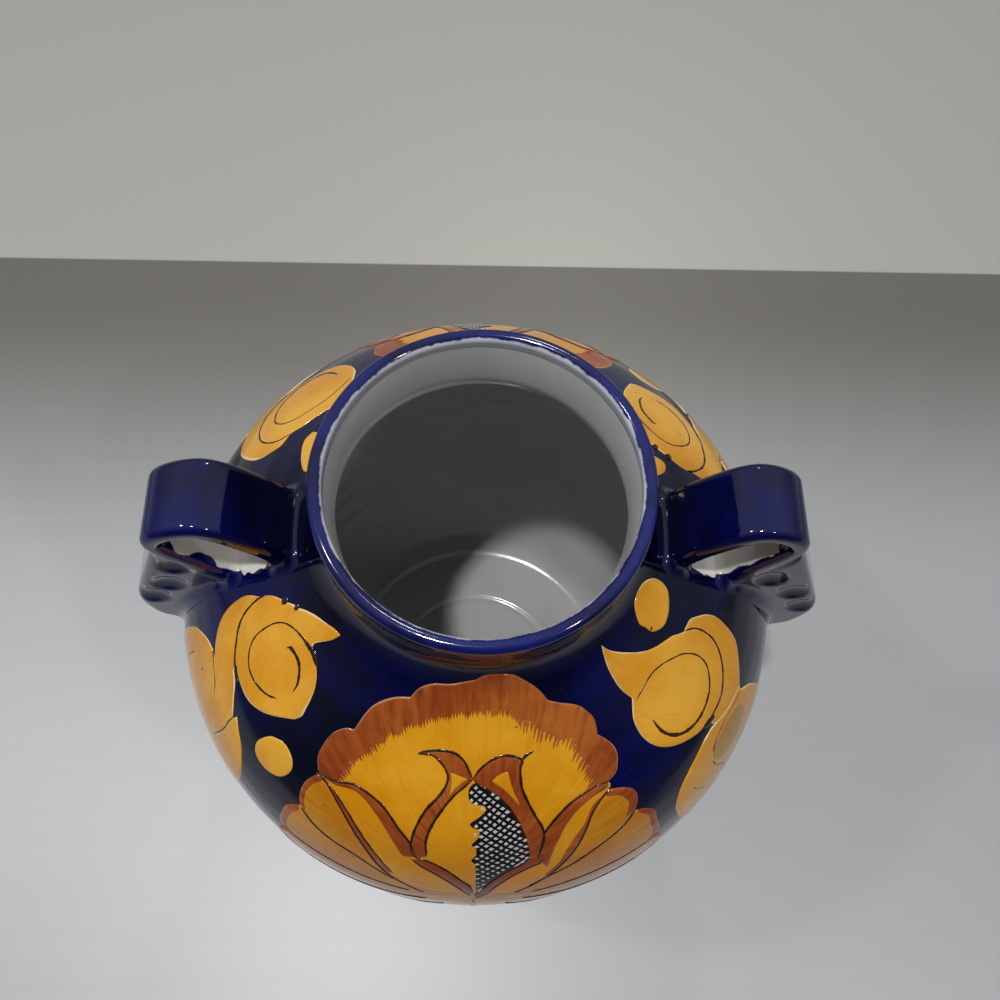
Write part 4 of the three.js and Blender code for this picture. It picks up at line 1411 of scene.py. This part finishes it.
RIGHT_SCROLL_EDGES = (
    ([(64, 55), (66.4, 55.2), (68.1, 56), (69.8, 59), (71.5, 63), (72.5, 68), (72.4, 74), (71.5, 81),
      (70.4, 85.5), (68.1, 90), (65.8, 94.5), (63.4, 99.4)],
     [(63.4, 99.4), (58, 98.4), (53.4, 93), (54.5, 88.8)],
     [(54.5, 88.8), (60, 80), (63, 65), (64, 55)]),
    ([(42, 27), (40.9, 32), (40.1, 37), (39.9, 43), (40.3, 48), (41.4, 53)],
     [(41.4, 53), (39.7, 57.5), (38.8, 61), (38.6, 67), (39.2, 72), (40.6, 77), (42.6, 81), (45.2, 84.5),
      (47.7, 87), (50.6, 89), (55.5, 89.4), (58.9, 88), (61.8, 84.5), (64.4, 80), (66.4, 75), (67.4, 70),
      (67.4, 64), (66.4, 59), (64.4, 55.5)],
     [(64.4, 55.5), (62.9, 53.5), (61.2, 51), (58.9, 49), (56.1, 47), (53.2, 44.5), (50.6, 41.5), (48, 38),
      (45.5, 34.5), (43.4, 31), (42, 27)]),
    ([(52.8, 93.4), (49.8, 94.5), (46.9, 97), (44, 100), (41.2, 104.5), (39.6, 110), (38.9, 116), (39.2, 125),
      (40.4, 136), (43, 147), (47.5, 156), (54, 166)],
     [(54, 166), (60.5, 157.5), (65, 147), (67.8, 136), (68.7, 126), (68.1, 118), (67.2, 112), (65.8, 106),
      (63.4, 99.8)],
     [(63.4, 99.8), (63.8, 97.2), (59.4, 96.4), (56, 95), (52.8, 93.4)]),
)
RIGHT_SCROLL_LINES = (
    ([(41.7, 55), (44.6, 53.5), (47.5, 52.3), (50.3, 52), (53.8, 53.5), (56.6, 56), (59.2, 59), (60.9, 63),
     (61.7, 67), (61.5, 72), (60.1, 76), (58.1, 79.5), (55.2, 82.2), (52, 83.5), (49.2, 83), (46.6, 81),
     (44.6, 77.5), (43.4, 73.5), (43, 70), (42.9, 66)], (0.7, 0.8, 0.8, 0.9, 1.2, 1.9, 2.0, 1.4)),
    ([(64.3, 55.2), (66.4, 59), (67.4, 64), (67.4, 70), (66.4, 75), (64.4, 80), (61.8, 84.5), (58.9, 88),
     (55.5, 89.2), (52, 89.6)], (0.9, 1.1, 1.3)),
    ([(51.4, 89), (54.8, 90.8)], (4.2,)),
    ([(50.2, 111), (50.9, 104), (53, 100.6), (56.4, 99), (60.2, 99.2), (63.2, 100.6)], (1.1, 0.9)),
    ([(43.6, 112), (44.6, 117.5), (46.4, 123)], (0.9,)),
    ([(49.6, 110), (50.3, 117), (52, 124), (53, 140)], (0.9,)),
    ([(60.5, 124), (59, 138), (56.5, 150)], (0.9,)),
)
RIGHT_SCROLL_ROUNDS = (
    [(55.5, 100.2), (60.2, 102.2), (62, 108.5), (60.6, 115.5), (56, 119.5), (51.6, 116.5), (49.8, 109.5),
     (51.4, 103)],
)
LEFT_SCROLL = (LEFT_SCROLL_EDGES, LEFT_SCROLL_LINES, ())
RIGHT_SCROLL = (RIGHT_SCROLL_EDGES, RIGHT_SCROLL_LINES, RIGHT_SCROLL_ROUNDS)


@dataclass
class Drops:
    """Loose dabs of orange between the motifs, and the white left bare under the straps."""

    shape: PotShape
    finishes: Finishes
    dabs: tuple[Points, ...] = (        # at the front left and right, then at the back right and left
        ((-44.5, 80.8), (-42.7, 81.2), (-40.7, 83.5), (-39.6, 87.5), (-39.9, 92), (-41.3, 96.5), (-43.9, 99),
         (-46.5, 98.8), (-48.2, 96.5), (-48.9, 92.5), (-48.4, 88), (-47, 83.5)),
        ((57.2, 38.2), (56.5, 35), (57.8, 31), (60.1, 27.4), (63.5, 26.2), (66.9, 26.8), (69.8, 29), (72, 33),
         (72.2, 37.5), (71, 41), (68.1, 43.5), (65.2, 45), (62.1, 45.5), (59.5, 44), (57.6, 41.5)),
        ((107.3, 36), (109.6, 30.5), (113.2, 29.5), (115.6, 33.5), (115.4, 42.5), (113.6, 46.9), (111.8, 48),
         (109.3, 45)),
        ((237.4, 48.8), (238, 41.5), (241.6, 36.4), (247, 33.4), (251, 34), (251.8, 38.8), (249.6, 42.5),
         (246, 46.3), (241, 50)),
    )
    bare: Points = (                    # edge of the bare white, from the strap's middle towards the front
        (-9.5, 41.5), (-3, 40.5), (5, 41), (9, 45), (9.8, 53), (9.4, 62), (8, 70), (5.6, 77), (2, 74),
        (-5, 73), (-9, 68), (-10, 58), (-10.4, 48), (-9.5, 41.5))
    bare_heart: float = 58.0            # run that its frayed ends point to

    def build(self) -> None:
        """Makes the dabs and the bare patches."""
        brush = Brush(self.shape)
        layers = Layers("dab")
        for points in self.dabs:
            layers.add("orange", brush.fill(closed(points)))
        layers.add("orange", Brush(self.shape, BACK_RIGHT).fill(closed(self.dabs[0])))
        layers.add("line", brush.line(smooth([(57.6, 40.6), (58.9, 40.2)]), (1.3,), brush.thickness, 0.8))
        for seed, middle in ((21, -90.0), (22, 90.0)):
            side = -math.copysign(1, middle)
            edge = smooth([(middle + side * x, y) for x, y in self.bare])
            ends = frayed(edge, (middle, self.bare_heart), reach=1.4, pitch=2.4, seed=seed)
            layers.add("bare", brush.fill(ends[:-1]))
        layers.build(self.finishes)


@dataclass
class Handle:
    """Strap handle and its pressed tail, pulled from one piece of clay and smoothed into the shoulder."""

    shape: PotShape
    finishes: Finishes
    name: str
    side: int                           # 1 for the right, -1 for the left
    shorter: float = 0.0                # how much nearer the axis the strap's outer turn lies
    longer: float = 0.0                 # how much lower the tail reaches
    half_width: float = 14.1
    edge: float = 3.2                   # radius of the strap's rounded edges
    halves: tuple[float, float, float] = (5.3, 4.0, 3.6)  # half its thickness at its start, middle and end
    box: tuple[Span, Span, Span] = ((60.0, 148.5), (-30.0, 30.5), (160.0, 308.0))  # where its skin is sought
    pitch: float = 1.0                  # size of the cells in that box
    slope_step: float = 0.15            # millimetres over which a slope is measured
    corner: float = 9.0                 # how far from a corner of the tail its rounding starts
    tail_edge: float = 5.0
    tail_narrower: float = 0.3          # how much less its half width is than the strap's
    weld: float = 5.0                   # reach of the smoothed clay where the handle meets the pot
    tail_weld: float = 3.5              # and where the tail meets the strap
    dent_rim: float = -2.2              # and round a finger dent, below zero because it cuts
    dents: tuple[Span, ...] = ()        # middles of the finger dents in the tail, out and up
    dent_half: tuple[float, float, float] = (5.6, 2.5, 8.4)  # half a dent's width, depth, half its length
    daubs: tuple[tuple[float, float, float, float], ...] = ()  # balls in which cobalt covers the bare white
    bare_depth: float = 0.35            # share of the half thickness past which the underside is bare
    blue_edge: float = 2.0              # width of the cobalt along its two edges
    bare_from: float = 0.42             # share of the way along the strap at which it starts
    bare_climb: float = 90.0            # millimetres for the whole way
    bare_reach: float = 4.0             # how far from the strap's own skin it ends
    buried: float = 0.02                # height above the pot up to which a face is left out
    inset: float = 0.05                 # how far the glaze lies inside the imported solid

    def centre_line(self) -> Array:
        """Points of the strap's centre line, out from the axis and up."""
        corners = np.array([(68.9, 264.8), (78.9, 284.5), (95.9, 300.2), (113.5 - self.shorter, 287.0),
                            (94.8, 254.0)])
        ends = np.vstack([corners[0], corners, corners[-1]])
        made = []
        for a, b, c, d in zip(ends, ends[1:], ends[2:], ends[3:]):
            t = np.linspace(0, 1, 24, endpoint=False)[:, None]
            made.append(0.5 * (2 * b + (c - a) * t + (2 * a - 5 * b + 4 * c - d) * t ** 2
                               + (3 * b - a - 3 * c + d) * t ** 3))
        return np.vstack([*made, corners[-1:]])

    def tail_side(self) -> Array:
        """Corners of the tail's side, out from the axis and up."""
        low = self.longer
        return np.array([(115.3, 283.0), (140.8 + 0.5 * low, 220.0 - low), (138.4 + 0.25 * low, 198.0 - low),
                         (121.1 + 0.08 * low, 191.0 - low), (94.8, 254.0)])

    def tail_outline(self) -> Array:
        """Outline of the tail's side, its two outer corners rounded."""
        corners = self.tail_side()
        made = [corners[0]]
        for before, corner, after in zip(corners, corners[1:3], corners[2:]):
            start, end = (corner + (other - corner) * self.corner / np.hypot(*(other - corner))
                          for other in (before, after))
            made += [bend(start, corner, end, t) for t in np.linspace(0, 1, 6)]
        return np.vstack([*made, corners[3:]])

    @staticmethod
    def _beside(x: Array, z: Array, start: Array, span: Array) -> tuple[Array, Array, Array]:
        """Share of the way along a straight piece at which points lie, and how far out and up from it."""
        t = np.clip(((x - start[0]) * span[0] + (z - start[1]) * span[1]) / (span @ span), 0, 1)
        return t, x - start[0] - t * span[0], z - start[1] - t * span[1]

    def in_plane(self, x: Array, z: Array) -> dict[str, Array]:
        """Distances in the plane of the handle.

        Args:
            x: distance out from the axis.
            z: height.

        Returns:
            By name: "line" the distance from the strap's centre line, "half" the strap's half thickness
            there, "share" the share of the way along it, "inner" the distance again but below zero on its
            outer side, and "tail" the distance from the tail's outline, below zero within it.
        """
        line = self.centre_line()
        best = np.full(x.shape, 1e9)
        share = np.zeros(x.shape)
        inner = np.zeros(x.shape)
        count = len(line) - 1
        for k, (start, end) in enumerate(zip(line, line[1:])):
            span = end - start
            t, dx, dz = self._beside(x, z, start, span)
            distance = np.hypot(dx, dz)
            nearer = distance < best
            best = np.where(nearer, distance, best)
            share = np.where(nearer, (k + t) / count, share)
            inner = np.where(nearer, np.sign(dx * span[1] - dz * span[0]) * distance, inner)
        half = np.interp(share, (0, 0.5, 1), self.halves)
        corners = self.tail_outline()
        tail = np.full(x.shape, 1e9)
        for start, end in zip(corners, np.roll(corners, -1, axis=0)):
            tail = np.minimum(tail, np.hypot(*self._beside(x, z, start, end - start)[1:]))
        tail = np.where(inside(x, z, corners), -tail, tail)
        return {"line": best, "half": half, "share": share, "inner": inner, "tail": tail}

    def distance(self, x: Array, y: Array, z: Array, plane: dict[str, Array]) -> tuple[Array, Array]:
        """Signed distance from the handle joined to the pot, and from the pot alone."""
        side = np.abs(y)
        strap = self._rounded(side - self.half_width, plane["line"] - plane["half"], self.edge)
        tail = self._rounded(side - (self.half_width - self.tail_narrower), plane["tail"], self.tail_edge)
        top, flare = self.tail_side()[:2]
        down = (flare - top) / np.hypot(*(flare - top))
        a, b, c = self.dent_half
        for middle in self.dents:
            px, pz = x - middle[0], z - middle[1]
            px, py, pz = px * -down[1] + pz * down[0], side - self.half_width, px * down[0] + pz * down[1]
            near = np.sqrt((px / a) ** 2 + (py / b) ** 2 + (pz / c) ** 2)
            steep = np.sqrt((px / a ** 2) ** 2 + (py / b ** 2) ** 2 + (pz / c ** 2) ** 2)
            tail = self._joined(tail, -near * (near - 1) / np.maximum(steep, 1e-6), self.dent_rim)
        handle = self._joined(strap, tail, self.tail_weld)
        angle = np.degrees(np.arctan2(self.side * x, -self.side * y))
        rows = self.shape.outside[::-1]
        radius, out = np.interp(z, rows[:, 2], rows[:, 1]), np.interp(z, rows[:, 2], rows[:, 3])
        pot = (np.hypot(x, y) - radius) * out + self.shape.glaze_back - self.shape.waver(angle, z)
        return self._joined(handle, pot, self.weld), pot

    @staticmethod
    def _rounded(a: Array, b: Array, edge: float) -> Array:
        """Distance from a body that two distances bound, its edge rounded."""
        a, b = a + edge, b + edge
        return np.hypot(np.maximum(a, 0), np.maximum(b, 0)) + np.minimum(np.maximum(a, b), 0) - edge

    @staticmethod
    def _joined(a: Array, b: Array, reach: float) -> Array:
        """Two distances joined smoothly, or cut smoothly where the reach is negative."""
        sign = math.copysign(1.0, reach)
        share = np.clip(0.5 + 0.5 * sign * (b - a) / abs(reach), 0, 1)
        return b + (a - b) * share - sign * abs(reach) * share * (1 - share)

    def build(self) -> bpy.types.Object:
        """Makes the handle's mesh from the distances."""
        axes = [np.arange(low, high, self.pitch) for low, high in self.box]
        x, z = np.meshgrid(axes[0], axes[2], indexing="ij")
        plane = {name: values[:, None, :] for name, values in self.in_plane(x, z).items()}
        grid = np.meshgrid(*axes, indexing="ij")
        values, _ = self.distance(*grid, plane)
        points, faces = self._net(values, axes)
        for _ in range(3):
            near, slope = self._slope(points)
            points = points - slope * near[:, None]
        near, slope = self._slope(points)
        plane = self.in_plane(points[:, 0], points[:, 2])
        _, pot = self.distance(*points.T, plane)
        faces = faces[(pot[faces] > self.buried).any(axis=1)]
        used, index = np.unique(faces, return_inverse=True)
        faces = index.reshape(faces.shape)
        points, slope = points[used], slope[used]
        inner = {name: value[used] for name, value in plane.items()}
        white = np.minimum.reduce([
            inner["inner"] - inner["half"] * self.bare_depth,
            self.half_width - self.blue_edge - np.abs(points[:, 1]),
            (inner["share"] - self.bare_from) * self.bare_climb,
            self.bare_reach - np.abs(inner["line"] - inner["half"])])
        for *middle, radius in self.daubs:
            white = np.minimum(white, np.linalg.norm((points - middle) * (1.0, 1.4, 1.0), axis=1) - radius)
        half_turn = np.array([self.side, self.side, 1])
        nodes = tuple(f"{self.name}_{part}" for part in ("strap", "tail", "root_pad", "seat_pad"))
        return body_piece(f"{self.name}_handle", (points - slope * self.inset) * half_turn, faces.tolist(),
                          self.finishes.handle_cobalt, slope * half_turn, {"white": white},
                          replaces=nodes)

    def _slope(self, points: Array) -> tuple[Array, Array]:
        """Distance and its direction at some points."""
        slope = np.zeros_like(points)
        for axis in range(3):
            shift = np.zeros(3)
            shift[axis] = self.slope_step
            slope[:, axis] = self._at(points + shift) - self._at(points - shift)
        return self._at(points), slope / np.maximum(np.linalg.norm(slope, axis=1), 1e-9)[:, None]

    def _at(self, points: Array) -> Array:
        """Distance of some points from the handle joined to the pot."""
        return self.distance(*points.T, self.in_plane(points[:, 0], points[:, 2]))[0]

    @staticmethod
    def _net(values: Array, axes: list[Array]) -> tuple[Array, Array]:
        """Mesh of the places where a grid of distances passes through zero.

        Args:
            values: the distances.
            axes: the grid's places along X, Y and Z.

        Returns:
            Points and four-cornered faces, facing outward.
        """
        below = values < 0
        cells = tuple(n - 1 for n in values.shape)
        total = np.zeros((*cells, 3))
        count = np.zeros(cells)
        whole = [slice(0, -1), slice(1, None)]
        for axis in range(3):
            others = [k for k in range(3) if k != axis]
            for first in (0, 1):
                for second in (0, 1):
                    low, high = [None] * 3, [None] * 3
                    low[axis], high[axis] = whole
                    for k, bit in zip(others, (first, second)):
                        low[k] = high[k] = whole[bit]
                    a, b = values[tuple(low)], values[tuple(high)]
                    cross = (a < 0) != (b < 0)
                    share = np.where(cross, a / np.where(cross, a - b, 1), 0)
                    total[..., axis] += np.where(cross, share, 0)
                    for k, bit in zip(others, (first, second)):
                        total[..., k] += cross * bit
                    count += cross
        active = count > 0
        number = np.full(cells, -1)
        number[active] = np.arange(active.sum())
        cell = np.argwhere(active)
        steps = np.array([axis[1] - axis[0] for axis in axes])
        middles = cell + total[active] / count[active][:, None]
        points = np.array([axis[0] for axis in axes]) + middles * steps
        faces = []
        for order in ((0, 1, 2), (1, 2, 0), (2, 0, 1)):
            within, cell_number = below.transpose(order), number.transpose(order)
            here, ahead = within[:-1, 1:-1, 1:-1], within[1:, 1:-1, 1:-1]
            i, j, k = np.nonzero(here != ahead)
            corners = np.stack([cell_number[i, j, k], cell_number[i, j + 1, k],
                                cell_number[i, j + 1, k + 1], cell_number[i, j, k + 1]], axis=1)
            leaving = here[i, j, k]
            faces.append(np.where(leaving[:, None], corners, corners[:, ::-1]))
        return points, np.vstack(faces)


@dataclass
class Studio:
    """Camera at the photograph's place, four small lamps, the steel table and pale surroundings."""

    camera_at: tuple[float, float, float] = (-0.00452, -0.11785, 0.59062)
    lens: float = 33.23
    sensor: float = 36.0                # millimetres wide, as the lens is in millimetres
    tilt: float = 67.8                  # degrees that the camera looks down, then its roll and turn
    roll: float = 5.16
    turn: float = -5.05
    floor_half: float = 6.0             # metres from the axis to the end of the ground
    lamps_aim: tuple[float, float, float] = (0.0, 0.0, 0.2)
    world_colour: Colour = (0.90, 0.93, 1.0)
    world_levels: tuple[tuple[str, float, float, float, float], ...] = (  # axis, from, to, levels there
        ("Y", -0.80, 0.10, 0.05, 0.46), ("Z", 0.06, 0.55, 0.42, 1.18))

    def build(self) -> None:
        """Makes the studio."""
        self.camera()
        self.floor()
        self.lamps()
        self.world()

    def camera(self) -> None:
        """Places the camera."""
        camera = linked("camera", bpy.data.cameras.new("camera"))
        camera.data.lens = self.lens
        camera.data.sensor_width = self.sensor
        camera.data.clip_start = 0.01
        tilt, roll = math.radians(self.tilt), math.radians(self.roll)
        forward = Vector((0, math.cos(tilt), -math.sin(tilt)))
        above = Vector((0, math.sin(tilt), math.cos(tilt)))
        right = Vector((math.cos(roll), 0, 0)) + above * math.sin(roll)
        up = Vector((-math.sin(roll), 0, 0)) + above * math.cos(roll)
        facing = Matrix.Rotation(math.radians(self.turn), 3, "Z") @ Matrix((right, up, -forward)).transposed()
        camera.matrix_world = Matrix.Translation(self.camera_at) @ facing.to_4x4()
        bpy.context.scene.camera = camera

    def floor(self) -> None:
        """Lays the table and the ground round it, as one floor."""
        mesh = bpy.data.meshes.new("floor")
        half = self.floor_half
        corners = [(-half, -half, 0), (half, -half, 0), (half, half, 0), (-half, half, 0)]
        mesh.from_pydata(corners, [], [(0, 1, 2, 3)])
        mesh.materials.append(Floor().build())
        linked("floor", mesh)

    def lamps(self) -> None:
        """Hangs a small bright lamp that shines into the mouth, and three more round the urn."""
        self.lamp("front key", (-0.26, -0.203, 2.0), 0.08, 18.5)
        self.lamp("right spot", (0.95, -0.75, 1.75), 0.12, 5.0)
        self.lamp("left spot", (-1.05, 0.10, 1.70), 0.12, 5.0)
        self.lamp("back spot", (0.25, 1.20, 1.75), 0.14, 4.0)

    def lamp(self, name: str, place: tuple, size: float, power: float) -> None:
        """Hangs one lamp that faces the urn.

        Args:
            name: its name.
            place: where it hangs, in metres.
            size: width of its square panel.
            power: watts.
        """
        lamp = linked(name, bpy.data.lights.new(name, "AREA"))
        lamp.data.size = size
        lamp.data.energy = power
        lamp.location = place
        lamp.rotation_euler = (Vector(self.lamps_aim) - Vector(place)).to_track_quat("-Z", "Y").to_euler()

    def world(self) -> None:
        """Surrounds the urn with light, dimmer in front and near the horizon."""
        world = bpy.context.scene.world or bpy.data.worlds.new("world")
        bpy.context.scene.world = world
        world.use_nodes = True
        tree = world.node_tree
        place = tree.nodes.new("ShaderNodeTexCoord")
        parts = tree.nodes.new("ShaderNodeSeparateXYZ")
        strength = tree.nodes.new("ShaderNodeMath")
        strength.operation = "MULTIPLY"
        tree.links.new(place.outputs["Generated"], parts.inputs[0])
        for number, (axis, *levels) in enumerate(self.world_levels):
            ramp = tree.nodes.new("ShaderNodeMapRange")
            tree.links.new(parts.outputs[axis], ramp.inputs["Value"])
            for name, value in zip(("From Min", "From Max", "To Min", "To Max"), levels):
                ramp.inputs[name].default_value = value
            tree.links.new(ramp.outputs["Result"], strength.inputs[number])
        background = tree.nodes["Background"]
        background.inputs["Color"].default_value = (*self.world_colour, 1)
        tree.links.new(strength.outputs[0], background.inputs["Strength"])


def main() -> None:
    """Builds the urn and its studio."""
    logging.basicConfig(level=logging.INFO, format="%(message)s")
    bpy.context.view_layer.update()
    bpy.context.scene.view_settings.view_transform = "Standard"
    Studio().build()
    shape, finishes = PotShape(), Finishes()
    Pot(shape, finishes).build()
    Handle(shape, finishes, "left", -1, dents=((111.1, 268.3), (119.3, 246.9), (130.0, 230.4)),
           daubs=((109.4, 12.5, 286.0, 5.0), (100.5, 14.0, 269.0, 7.2))).build()
    Handle(shape, finishes, "right", 1, shorter=2.4, longer=10.0,
           dents=((111.0, 256.4), (125.4, 239.1), (135.1, 219.5)),
           daubs=((109.0, -11.0, 286.0, 4.5), (107.5, -15.0, 280.0, 5.0), (103.5, -16.0, 273.0, 4.5),
                  (99.5, -17.0, 266.5, 4.0))).build()
    Flower(shape, finishes, "front_flower", FRONT).build()
    Flower(shape, finishes, "back_flower", BACK_FLOWER).build()
    for name, place, scroll in (("front_left_scroll", FRONT, LEFT_SCROLL),
                                ("front_right_scroll", FRONT, RIGHT_SCROLL),
                                ("back_right_scroll", BACK_RIGHT, LEFT_SCROLL),
                                ("back_left_scroll", BACK_LEFT, RIGHT_SCROLL)):
        Scroll(shape, finishes, name, place, *scroll).build()
    Drops(shape, finishes).build()


if __name__ == "__main__":
    main()
